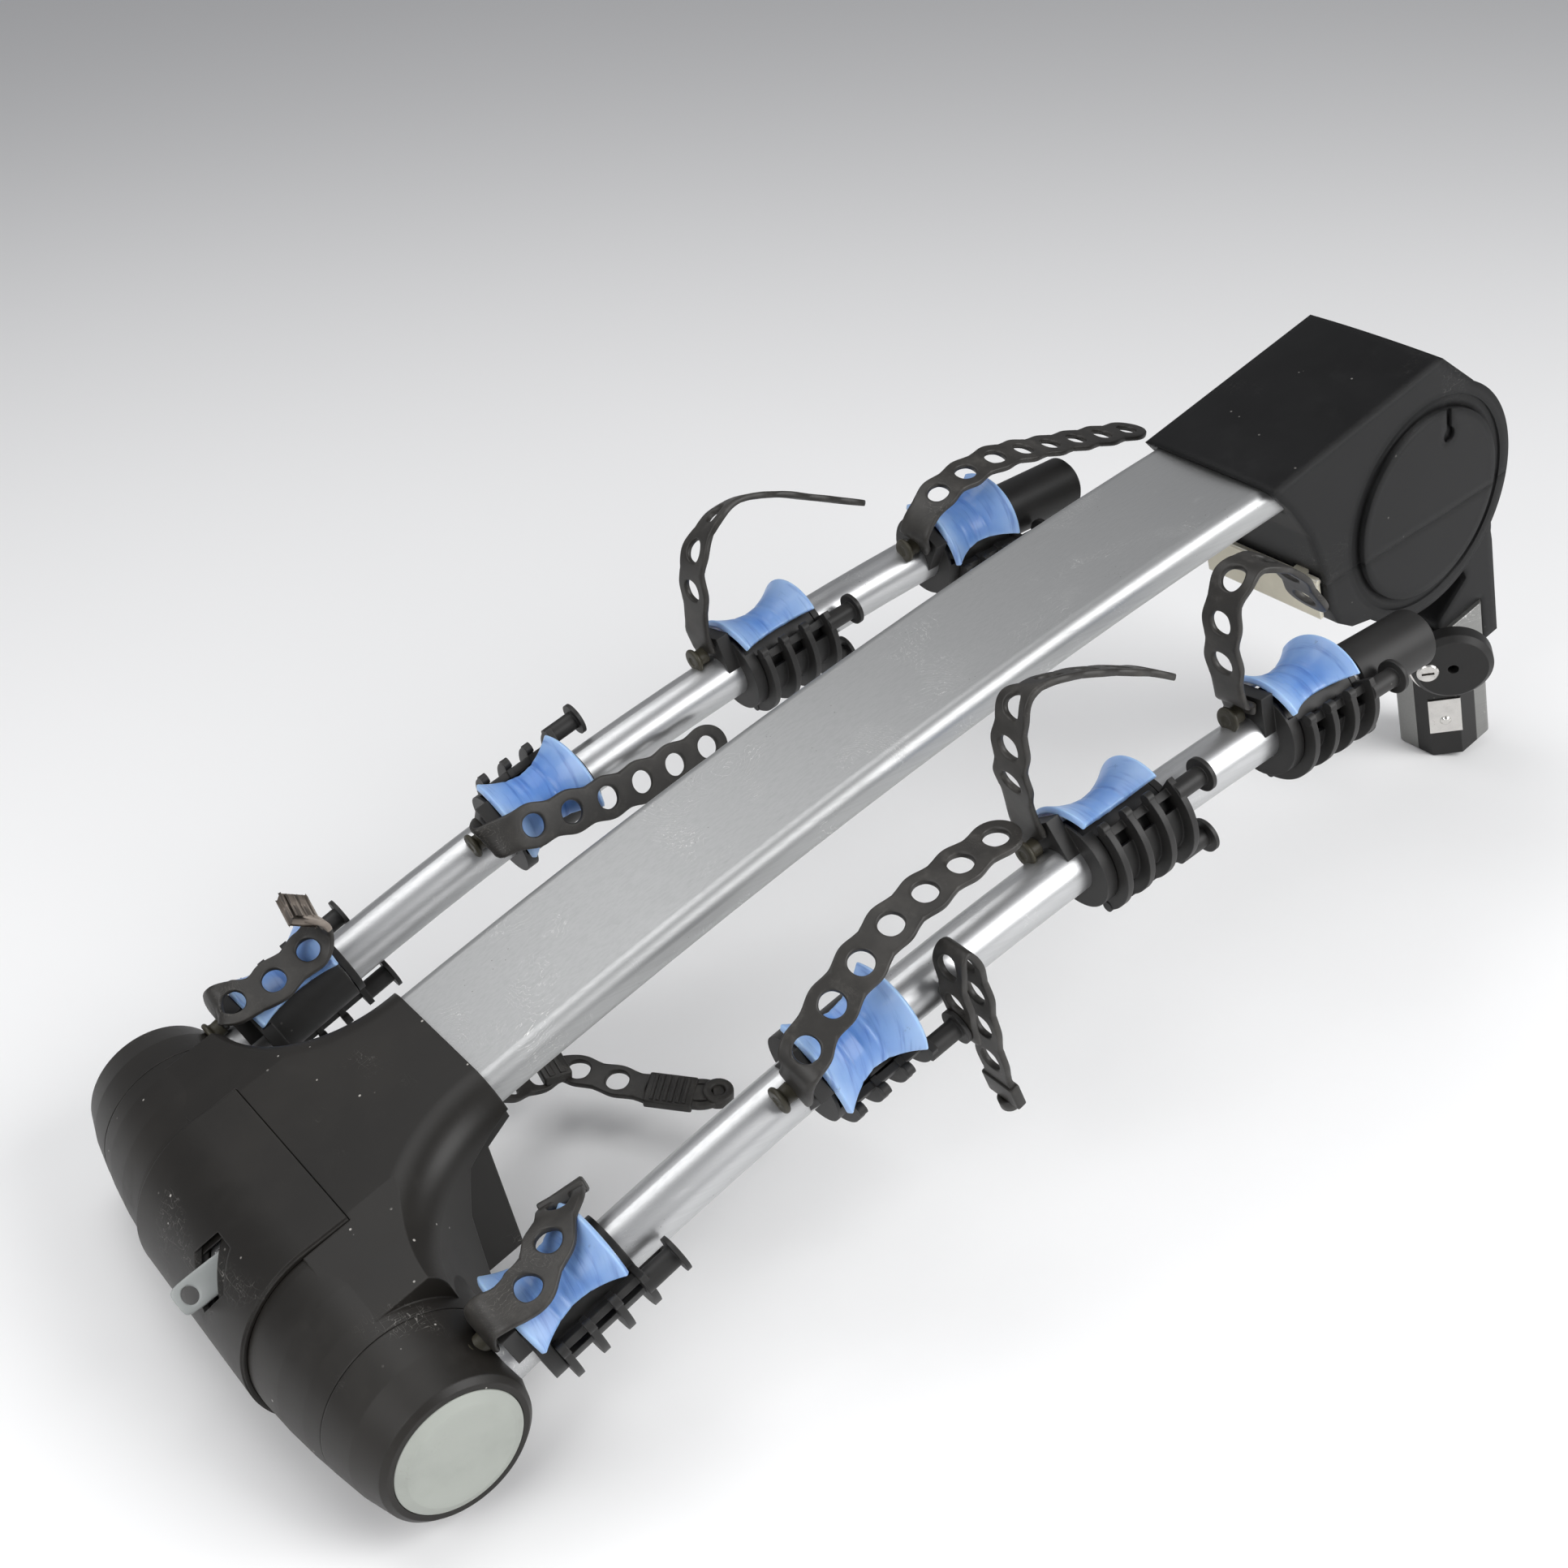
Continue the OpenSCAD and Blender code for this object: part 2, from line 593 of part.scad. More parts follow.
// Pivot housing
module base_outline(grow) {
    translate([pivot_x, -pivot_drop]) circle(base_radius - grow, $fn = 128);
    polygon([
        [base_front + grow, base_front_rise - grow], [889 - grow, base_rear_rise - grow],
        [920 - grow, 20], [pivot_x, -pivot_drop - 40], [812 + grow, -106 + grow], [785 + grow, -96 + grow],
        [772 + grow, -84 + grow], [767 + grow, -70], [766 + grow, -40], [757 + grow, -2], [744 + grow, 27]
    ]);
}

base_crown = 380;
crown_slope = atan((base_rear_rise - base_front_rise) / 161);
module base_solid(grow) intersection() {
    rotate([90, 0, 0]) linear_extrude(2 * (base_half - grow), center = true) base_outline(grow);
    translate([base_front, 0, base_front_rise - base_crown - grow]) rotate([0, 90 - crown_slope, 0])
        translate([0, 0, -60]) cylinder(r = base_crown, h = 400, $fn = 360);
}

module base_walls() difference() {
    union() {
        base_solid(0);
        translate([pivot_x, 0, -pivot_drop]) along_y_wide(disc_radius, -base_half - disc_proud, base_half + disc_proud);
    }
    base_solid(base_wall);
    translate([pivot_x, 0, -pivot_drop])
        along_y_wide(disc_radius - 3, -base_half - disc_proud + base_wall, base_half + disc_proud - base_wall);
    bow(mast_arc, mast_mid, mast_arc_z, base_front - 30, base_front + 40) translate([-mast_thick / 2, 0])
        round_rect(mast_thick + 2 * socket_play, mast_width + 2 * socket_play, mast_edge + socket_play);
    for (s = [-1, 1]) translate([pivot_x, s * base_half, -pivot_drop]) rotate([90, 0, 0]) difference() {
        cylinder(r = disc_radius + disc_groove, h = 2.4, center = true, $fn = 128);
        cylinder(r = disc_radius, h = 4, center = true, $fn = 128);
    }
    for (s = [-1, 1]) translate([key_x, s * (base_half + disc_proud), key_z]) rotate([90, 0, 0]) {
        cylinder(r = 5.5, h = 4.4, center = true);
        rotate([0, 0, 86]) translate([0, -2.6, -2.2]) cube([30, 5.2, 4.4]);
    }
    translate([pivot_x + 4, -neck_half - 8, -200]) cube([140, 2 * neck_half + 16, 200]);
    for (y = [-40, 28]) translate([756, y - 0.6, base_split + 9]) cube([24, 13.2, 8.4]);
}

module along_y_wide(r, y_from, y_to) rotate([-90, 0, 0]) translate([0, 0, y_from]) cylinder(r = r, h = y_to - y_from, $fn = 128);

key_x = 890;
key_z = -4;
base_split = -57;
module base_upper_shell() color(black_shell) lay() intersection() {
    base_walls();
    translate([600, -100, base_split + 32]) rotate([0, 7.7, 0]) translate([-50, 0, 0]) cube([600, 200, 300]);
}

module base_lower_shell() color(black_shell) lay() difference() {
    base_walls();
    translate([600, -100, base_split + 31.8]) rotate([0, 7.7, 0]) translate([-50, 0, 0]) cube([600, 200, 300]);
}

yoke_from = neck_half + 6.3;
module base_yoke() color(cast_grey) lay() difference() {
    union() {
        for (s = [-1, 1]) rotate([90, 0, 0]) translate([0, 0, s * (yoke_from + cheek_thick / 2)])
            linear_extrude(cheek_thick, center = true) {
                translate([pivot_x, -pivot_drop]) circle(34);
                polygon([
                    [mast_to + 0.4, 2], [mast_to + 0.4, 44], [pivot_x + 26, 24], [pivot_x + 33, -pivot_drop],
                    [pivot_x - 20, -pivot_drop - 27]
                ]);
            }
        translate([mast_to + 0.4, -yoke_from - 1, 4]) cube([16, 2 * yoke_from + 2, 38]);
        intersection() {
            translate([mast_to - 44, -14, -20]) cube([45, 28, 90]);
            bow(mast_arc, mast_mid, mast_arc_z, 700, 840) translate([-mast_thick / 2, 0])
                square([mast_thick - 2 * mast_wall - 0.4, 29], center = true);
        }
    }
    translate([pivot_x, 0, -pivot_drop]) along_y(pin_width / 2 + pin_play, -60, 60);
}

hinge_x = 763.7;
hinge_z = base_split + 12;
module tilt_lever() color(cap_grey) lay() {
    translate([762.2, -50, base_split - 19]) cube([3, 100, 33.4]);
    translate([hinge_x, 0, hinge_z]) along_y(hinge_bead / 2, -50.5, 50.5);
    for (y = [-40, 28]) translate([762.2, y, base_split + 11]) cube([22, 12, 3.4]);
}

// Cradle parts in the frame of their place on the arm
module clamp_shape(roll) rotate([roll, 0, 0]) difference() {
    union() {
        rotate([0, 90, 0]) translate([0, 0, -saddle_length / 2 - 2]) cylinder(r = sleeve_radius, h = saddle_length + 2);
        rotate([0, 90, 0]) translate([0, 0, -saddle_length / 2 - 2]) cylinder(r = collar_radius, h = collar_length);
        translate([-saddle_length / 2 - 2 - anchor_length, -anchor_width / 2, 6])
            cube([anchor_length + 0.2, anchor_width, anchor_height - 6]);
    }
    sector(sleeve_radius + 0.25, 60, -saddle_length / 2 - 0.2, saddle_length, 0, saddle_half_angle + 4);
}

module clamps(stations, rolls, side) color(black_shell) lay() difference() {
    for (i = [0:3]) at_arm(stations[i], side) clamp_shape(rolls[i]);
    translate([0, side * arm_side, 0]) bow(arm_bow_radius, arm_crown, arm_arc_z, 20, 715) circle(tube_r + sleeve_play);
}

module saddle_profile() difference() {
    translate([sleeve_radius + 0.3, -saddle_length / 2 + 0.1])
        square([saddle_end_radius - sleeve_radius - 0.3, saddle_length - 0.2]);
    translate([saddle_mid_radius + saddle_bow, 0]) circle(saddle_bow, $fn = 96);
    for (k = [-1.5, -0.5, 0.5, 1.5])
        translate([saddle_mid_radius + saddle_bow - sqrt(saddle_bow * saddle_bow - k * k * 144), k * 12]) circle(groove_width / 2, $fn = 16);
}

saddle_drop = saddle_end_radius - saddle_mid_radius;
saddle_bow = (saddle_length * saddle_length / 4 + saddle_drop * saddle_drop) / 2 / saddle_drop;

module saddle_shape(roll) rotate([roll, 0, 0]) rotate([0, 90, 0]) rotate([0, 0, 180 - saddle_half_angle])
    rotate_extrude(angle = 2 * saddle_half_angle) saddle_profile();

near_rolls = [8, 41, -35, -8];
far_rolls = [-6, 38, -14, 28];

module near_clamps() clamps(near_stations, near_rolls, near);
module far_clamps() clamps(far_stations, far_rolls, far);
module near_saddles() color(saddle_blue) lay()
    for (i = [0:3]) at_arm(near_stations[i], near) saddle_shape(near_rolls[i]);
module far_saddles() color(saddle_blue) lay()
    for (i = [0:3]) at_arm(far_stations[i], far) saddle_shape(far_rolls[i]);

// Swivel cage, its open side facing the arm, turned by its own angle
cage_rib_from = -22;
ring_at = saddle_length / 2 + 0.8;
ring_mid = ring_at + ring_thick / 2;
module cage(station, side, angle) color(black_shell) lay() at_arm(station + ring_mid, side)
    rotate([angle, 0, 0]) translate([-ring_mid, 0, 0]) {
        for (k = [0:2]) {
            x = cage_rib_from + k * rib_pitch;
            sector(cage_inner, cage_outer, x, x + rib_thick, 0, rib_half_angle);
            for (s = [-1, 1]) rotate([s * (rib_half_angle - 1), 0, 0]) translate([x - 0.4, 0, cage_outer - 2.3])
                rotate([0, 90, 0]) rotate([0, 0, 40]) cylinder(r = lobe_radius, h = rib_thick + 0.8);
        }
        for (s = [-1, 1]) {
            sector(cage_inner + 0.4, cage_inner + 5, cage_rib_from + 1, ring_at + 1, s * (rib_half_angle - 7), 5);
            rotate([s * (rib_half_angle - 12), 0, 0]) translate([ring_at + 0.7, 0, cage_outer - 4.5])
                rotate([0, 90, 0]) rotate([0, 0, 20]) {
                cylinder(r = peg_radius, h = ring_thick + peg_length);
                translate([0, 0, ring_thick + peg_length - peg_flange_thick]) cylinder(r = peg_flange, h = peg_flange_thick);
            }
        }
        sector(cage_inner + 0.4, cage_inner + 3.4, cage_rib_from + 1, ring_at + 1, 0, rib_half_angle - 28);
        sector(19, cage_outer, ring_at + 0.3, ring_at + ring_thick - 0.3, 0, rib_half_angle + 2);
        ring_x(tube_r + ring_play, 21, ring_at, ring_at + ring_thick);
    }

near_cage_angles = [135, 169, 92, 119];
far_cage_angles = [-133, -89, 113, 156];

module near_cage_1() cage(near_stations[0], near, near_cage_angles[0]);
module near_cage_2() cage(near_stations[1], near, near_cage_angles[1]);
module near_cage_3() cage(near_stations[2], near, near_cage_angles[2]);
module near_cage_4() cage(near_stations[3], near, near_cage_angles[3]);
module far_cage_1() cage(far_stations[0], far, far_cage_angles[0]);
module far_cage_2() cage(far_stations[1], far, far_cage_angles[1]);
module far_cage_3() cage(far_stations[2], far, far_cage_angles[2]);
module far_cage_4() cage(far_stations[3], far, far_cage_angles[3]);

// Ladder straps: each band runs through hand-set rows of middle point and width direction
function mix(a, b, t) = a * (1 - t) + b * t;
function curve(a, b, c, d, t) = 0.5 * ((2 * b) + (c - a) * t + (2 * a - 5 * b + 4 * c - d) * t * t
    + (3 * b - a - 3 * c + d) * t * t * t);
function row(rows, i) = rows[max(0, min(len(rows) - 1, i))];
function finer(rows, steps) = [
    for (i = [0:len(rows) - 2], k = [0:steps - 1])
        curve(row(rows, i - 1), row(rows, i), row(rows, i + 1), row(rows, i + 2), k / steps),
    row(rows, len(rows) - 1)
];
function place(r) = [r[0], r[1], r[2]];
function across(r) = [r[3], r[4], r[5]] / norm([r[3], r[4], r[5]]);
function ahead(rows, i) = let(d = place(row(rows, i + 1)) - place(row(rows, i - 1))) d / norm(d);
function outward(rows, i) = let(n = cross(ahead(rows, i), across(rows[i]))) n / norm(n);

module band(rows, width, thick) {
    fine = finer(rows, 3);
    n = len(fine);
    pts = [
        for (i = [0:n - 1])
            let(
                end = i == n - 1 ? 0.55 : i == n - 2 ? 0.85 : 1,
                w = cross(outward(fine, i), ahead(fine, i)) * width / 2 * end,
                o = outward(fine, i) * thick / 2,
                c = place(fine[i])
            ) each [c - w - o, c + w - o, c + w + o, c - w + o]
    ];
    faces = [
        [0, 1, 2, 3],
        for (i = [0:n - 2], k = [0:3]) [4 * i + k, 4 * i + 4 + k, 4 * i + 4 + (k + 1) % 4],
        for (i = [0:n - 2], k = [0:3]) [4 * i + k, 4 * i + 4 + (k + 1) % 4, 4 * i + (k + 1) % 4],
        [4 * n - 1, 4 * n - 2, 4 * n - 3, 4 * n - 4]
    ];
    polyhedron(pts, faces);
}

// First two rows of a strap, flat against its anchor block, turned by the pitch of the arm there
strap_at = -saddle_length / 2 - 2 - anchor_length - 1.15 - strap_thick / 2;
function root_row(r, roll, pitch, lead) = [
    strap_at * cos(pitch) + r * cos(roll) * sin(pitch) + lead, -r * sin(roll), r * cos(roll) * cos(pitch) - strap_at * sin(pitch) - lead * tan(pitch),
    sin(roll) * sin(pitch), cos(roll), sin(roll) * cos(pitch)
];
near_marks = [88, 286, 487, 640];
far_marks = [100, 283, 476, 643];

module strap(station, mark, side, roll, rows) color(rubber_black) lay()
    translate([mark, side * arm_side, arm_rise(mark)]) band(concat([
        root_row(20.5, roll, arm_pitch(station), station - mark), root_row(29, roll, arm_pitch(station), station - mark)
    ], rows), strap_width, strap_thick);

near_strap_rows_2 = [
    [-47, -27, 40, 0.05, 0.8, 0.6], [-30, -23, 49, 0.1, 0.8, 0.6], [-4, -18, 56, 0.2, 0.85, 0.5],
    [21, -13, 60, 0.25, 0.9, 0.35], [45, -9, 62, 0.25, 0.95, 0.2], [80, -6, 60, 0.2, 1, 0.1],
    [113, -4, 56, 0.15, 1, 0], [132, -3, 53, 0.1, 1, 0]
];
near_strap_rows_3 = [
    [-52, 14, 52, 0, 1, 0], [-56, 8, 83, 0, 1, 0], [-53, 4, 112, 0, 1, -0.1], [-46, 2, 131, 0.1, 0.95, -0.3],
    [-30, 0, 133, 0.2, 0.85, -0.5], [1, 0, 117, 0.3, 0.75, -0.5], [33, 0, 94, 0.3, 0.75, -0.5], [53, 0, 76, 0.3, 0.75, -0.5]
];
near_strap_rows_4 = [
    [-56.8, 0, 44, 0, 1, 0], [-58, 0, 68, 0, 1, 0], [-56, 0, 94, 0, 1, 0], [-49, 0, 115, 0, 1, 0],
    [-34, 0, 125, 0, 1, 0], [-15, 0, 116, 0, 1, 0], [1, 0, 97, 0, 1, 0], [12, 0, 71, 0, 1, 0], [18, 0, 60, 0, 1, 0]
];
far_strap_rows_2 = [
    [-51.5, -28, 24, 0, 0.75, 0.66], [-34.1, -35.5, 24.1, 0.15, 0.6, 0.8], [-9.8, -37.9, 17.4, 0.15, 0.5, 0.85],
    [18.1, -38.2, 7.8, 0.15, 0.5, 0.85], [48.7, -36.9, -1.5, 0.15, 0.5, 0.85], [80.7, -34.8, -9.5, 0.15, 0.5, 0.85], [120, -32.1, -18.1, 0.15, 0.5, 0.85]
];
far_strap_rows_3 = [
    [-48.6, 4, 42, 0, 1, 0], [-44, 0, 70, 0, 1, 0], [-37, 0, 93, 0, 1, -0.1], [-20, 0, 109, 0.1, 0.95, -0.3],
    [2, 0, 114, 0.2, 0.85, -0.5], [31, 0, 101, 0.3, 0.75, -0.5], [58, 0, 81, 0.3, 0.75, -0.5], [92, 0, 54, 0.3, 0.75, -0.5]
];
far_strap_rows_4 = [
    [-54, -16, 36, 0, 1, 0.3], [-44, -16, 47, 0, 1, 0.3], [-22, -14, 54, 0, 1, 0.2], [6, -12, 52, 0, 1, 0.2],
    [36, -12, 46, 0, 1, 0.2], [80, -10, 26, 0, 1, 0.1], [126, -8, 4, 0, 1, 0.1], [163, -6, -14, 0, 1, 0]
];
near_strap_rows_1 = [
    [-43, -10, 37, -0.1, 0.95, 0.2], [-33, -14, 38, -0.3, 0.9, 0.3], [-18, -14, 38, -0.5, 0.83, 0.25],
    [0, -4, 38.5, -0.6, 0.79, 0.1], [14, 8, 38.5, -0.6, 0.78, -0.15], [24, 20, 33, -0.62, 0.65, -0.4], [28, 28, 24, -0.65, 0.5, -0.5]
];
far_strap_rows_1 = [
    [-49, -8, 38, 0, 0.95, 0.2], [-40, -16, 38, -0.1, 0.9, 0.4], [-26, -19, 36, -0.15, 0.88, 0.45], [-12, -18, 36, -0.18, 0.88, 0.45],
    [2, -17, 36.5, -0.18, 0.89, 0.42], [14, -15, 38, -0.15, 0.9, 0.4], [22, -13, 44, -0.12, 0.93, 0.35],
    [24, -12, 53, -0.1, 0.95, 0.3], [20, -11, 62, -0.1, 0.95, 0.3], [13, -10, 67, -0.1, 0.95, 0.2]
];

module near_strap_1() strap(near_stations[0], near_marks[0], near, near_rolls[0], near_strap_rows_1);
module near_strap_2() strap(near_stations[1], near_marks[1], near, near_rolls[1], near_strap_rows_2);
module near_strap_3() strap(near_stations[2], near_marks[2], near, near_rolls[2], near_strap_rows_3);
module near_strap_4() strap(near_stations[3], near_marks[3], near, near_rolls[3], near_strap_rows_4);
module far_strap_1() strap(far_stations[0], far_marks[0], far, far_rolls[0], far_strap_rows_1);
module far_strap_2() strap(far_stations[1], far_marks[1], far, far_rolls[1], far_strap_rows_2);
module far_strap_3() strap(far_stations[2], far_marks[2], far, far_rolls[2], far_strap_rows_3);
module far_strap_4() strap(far_stations[3], far_marks[3], far, far_rolls[3], far_strap_rows_4);

// Short straps: one hangs from a cage, one is kept under the head
sway_rows = [
    [55.9, -28.6, -27, 0, 1, 0], [55.9, -28.6, -8, 0, 1, 0], [55.9, -28.6, 12, 0, 1, 0], [58.2, -28.6, 31, 0, 1, 0],
    [63.7, -28.6, 38, 0, 1, 0], [68.7, -28.6, 28, 0, 1, 0], [69.7, -28.6, 0, 0, 1, 0], [67.7, -28.6, -30, 0, 1, 0],
    [66.7, -28.6, -62, 0, 1, 0], [69.7, -28.6, -96, 0, 1, 0]
];
module sway_strap() color(rubber_black) lay()
    at_arm(near_stations[1] + ring_mid, near) translate([-ring_mid, 0, 0]) band(sway_rows, strap_width - 2, strap_thick);

tether_rows = [
    [105.1, 46, -16, 0, 1, 0], [124, 50, -31, 0.1, 1, 0], [150, 56, -55, 0.3, 0.9, 0], [172, 62, -73, 0.5, 0.8, 0],
    [194, 60, -81, 0.6, 0.75, 0], [208, 38, -86, 0.8, 0.5, 0], [222, 14, -91, 0.75, 0.6, 0],
    [240, -8, -97, 0.6, 0.75, 0], [256, -20, -102, 0.5, 0.85, 0]
];
module tether_strap() color(rubber_black) lay() band(tether_rows, strap_width - 4, strap_thick);

hitch_tube();
hitch_bracket();
pivot_pin();
corner_wedge();
wedge_plate();
wedge_rivet();
hitch_knob();
knob_lock();
knob_wire();
draw_rod();
mast();
head_cover();
head_underside();
head_core();
head_axle();
lock_loop();
fold_lever();
base_upper_shell();
base_lower_shell();
base_yoke();
tilt_lever();
near_hub();
near_end_cap();
near_arm_tube();
near_tip_cap();
near_clamps();
near_saddles();
far_hub();
far_end_cap();
far_arm_tube();
far_tip_cap();
far_clamps();
far_saddles();
near_cage_1();
near_cage_2();
near_cage_3();
near_cage_4();
far_cage_1();
far_cage_2();
far_cage_3();
far_cage_4();
near_strap_1();
near_strap_2();
near_strap_3();
near_strap_4();
far_strap_1();
far_strap_2();
far_strap_3();
far_strap_4();
sway_strap();
tether_strap();
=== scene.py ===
"""Folded hitch bike rack: its finishes, straps and small fittings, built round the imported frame."""

from __future__ import annotations

import functools
import logging
import math
from dataclasses import dataclass, field
from enum import Enum
from typing import Callable, Sequence

import bmesh
import bpy
from mathutils import Matrix, Vector

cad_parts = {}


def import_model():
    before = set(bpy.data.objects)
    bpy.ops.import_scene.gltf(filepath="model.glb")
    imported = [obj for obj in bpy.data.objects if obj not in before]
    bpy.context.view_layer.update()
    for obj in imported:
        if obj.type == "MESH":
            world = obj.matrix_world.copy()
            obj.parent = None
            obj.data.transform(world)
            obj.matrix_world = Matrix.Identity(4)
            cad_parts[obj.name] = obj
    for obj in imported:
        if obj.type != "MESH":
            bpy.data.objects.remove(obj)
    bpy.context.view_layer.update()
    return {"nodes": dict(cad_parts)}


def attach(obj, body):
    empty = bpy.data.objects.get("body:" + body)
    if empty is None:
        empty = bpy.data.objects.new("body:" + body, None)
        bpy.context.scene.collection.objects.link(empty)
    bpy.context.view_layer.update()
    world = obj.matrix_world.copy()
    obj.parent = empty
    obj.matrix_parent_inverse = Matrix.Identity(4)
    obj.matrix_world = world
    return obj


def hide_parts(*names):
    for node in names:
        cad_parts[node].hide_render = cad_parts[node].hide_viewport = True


LOG = logging.getLogger("hitch_rack")
MM = 0.001
WEAR_RADIUS = 1.6 * MM
Row = tuple[float, ...]
Mover = Callable[[Vector], Vector]
Mesh = bmesh.types.BMesh
Point = tuple[float, float]
Span = tuple[float, float, float]


# The rack's own frame


@dataclass(frozen=True)
class RackFrame:
    """Where the rack's own axes lie in the shared frame, with the bow of its arms, in millimetres."""

    lean: float = 16.794469
    shift: float = -466.546
    rise: float = 58.0
    arm_side: float = 153.0
    arm_radius: float = 2092.0
    arm_crown: float = 302.0
    arm_crown_rise: float = 23.0

    def turn(self, v: Vector) -> Vector:
        """Turn a direction from the rack's axes into the shared frame."""
        c, s = math.cos(math.radians(self.lean)), math.sin(math.radians(self.lean))
        return Vector((c * v.x - s * v.z, v.y, s * v.x + c * v.z))

    def lay(self, v: Vector) -> Vector:
        """Bring a point in the rack's millimetres into the shared frame, in metres."""
        return (self.turn(v) + Vector((self.shift, 0.0, self.rise))) * MM

    def arm_rise(self, x: float) -> float:
        """Height of the arm's centre line over the pivot axis."""
        arc = self.arm_crown_rise - self.arm_radius
        return arc + math.sqrt(self.arm_radius**2 - (x - self.arm_crown) ** 2)

    def arm_pitch(self, x: float) -> float:
        """Slope of the arm at a station, in radians."""
        return math.asin((x - self.arm_crown) / self.arm_radius)

    def on_arm(self, v: Vector, station: float, side: int, roll: float = 0.0) -> Vector:
        """Place a point given beside one station of an arm.

        Args:
            v: The point, along the arm, across it and above it, in millimetres.
            station: Distance of the station from the pivot axis.
            side: -1 for the near arm and 1 for the far one.
            roll: Turn about the arm, in degrees.

        Returns:
            The point in the rack's own axes.
        """
        r, p = math.radians(roll), self.arm_pitch(station)
        y, z = v.y * math.cos(r) - v.z * math.sin(r), v.y * math.sin(r) + v.z * math.cos(r)
        x, z = v.x * math.cos(p) + z * math.sin(p), -v.x * math.sin(p) + z * math.cos(p)
        return Vector((station + x, side * self.arm_side + y, self.arm_rise(station) + z))


FRAME = RackFrame()


# Shader tools


class Sock:
    """One output of a shader node, with arithmetic that adds Math nodes."""

    def __init__(self, paint: Paint, socket: bpy.types.NodeSocket) -> None:
        """Keep the socket and the tree that it lives in."""
        self.paint, self.socket = paint, socket

    def _math(self, operation: str, a: Number, b: Number = 0.0, clamp: bool = False) -> Sock:
        """Add one Math node.

        Args:
            operation: Blender's name of the operation.
            a: First value.
            b: Second value.
            clamp: Keep the result between 0 and 1.

        Returns:
            The node's output.
        """
        return self.paint.node("ShaderNodeMath", {"operation": operation, "use_clamp": clamp}, {0: a, 1: b})

    def __add__(self, other: Number) -> Sock:
        """Sum."""
        return self._math("ADD", self, other)

    __radd__ = __add__

    def __sub__(self, other: Number) -> Sock:
        """Difference."""
        return self._math("SUBTRACT", self, other)

    def __rsub__(self, other: Number) -> Sock:
        """Difference from a number."""
        return self._math("SUBTRACT", other, self)

    def __mul__(self, other: Number) -> Sock:
        """Product."""
        return self._math("MULTIPLY", self, other)

    __rmul__ = __mul__

    def most(self, other: Number) -> Sock:
        """The larger of two values."""
        return self._math("MAXIMUM", self, other)

    def held(self) -> Sock:
        """The value kept between 0 and 1."""
        return self._math("ADD", self, 0.0, clamp=True)

    def between(self, low: float, high: float) -> Sock:
        """A smooth step.

        Args:
            low: Where the step begins.
            high: Where it ends; it may be the lower of the two.

        Returns:
            0 at low and 1 at high.
        """
        return self.paint.node(
            "ShaderNodeMapRange",
            {"interpolation_type": "SMOOTHSTEP"},
            {"Value": self, "From Min": low, "From Max": high},
        )


Number = Sock | float
Colour = tuple[float, float, float]


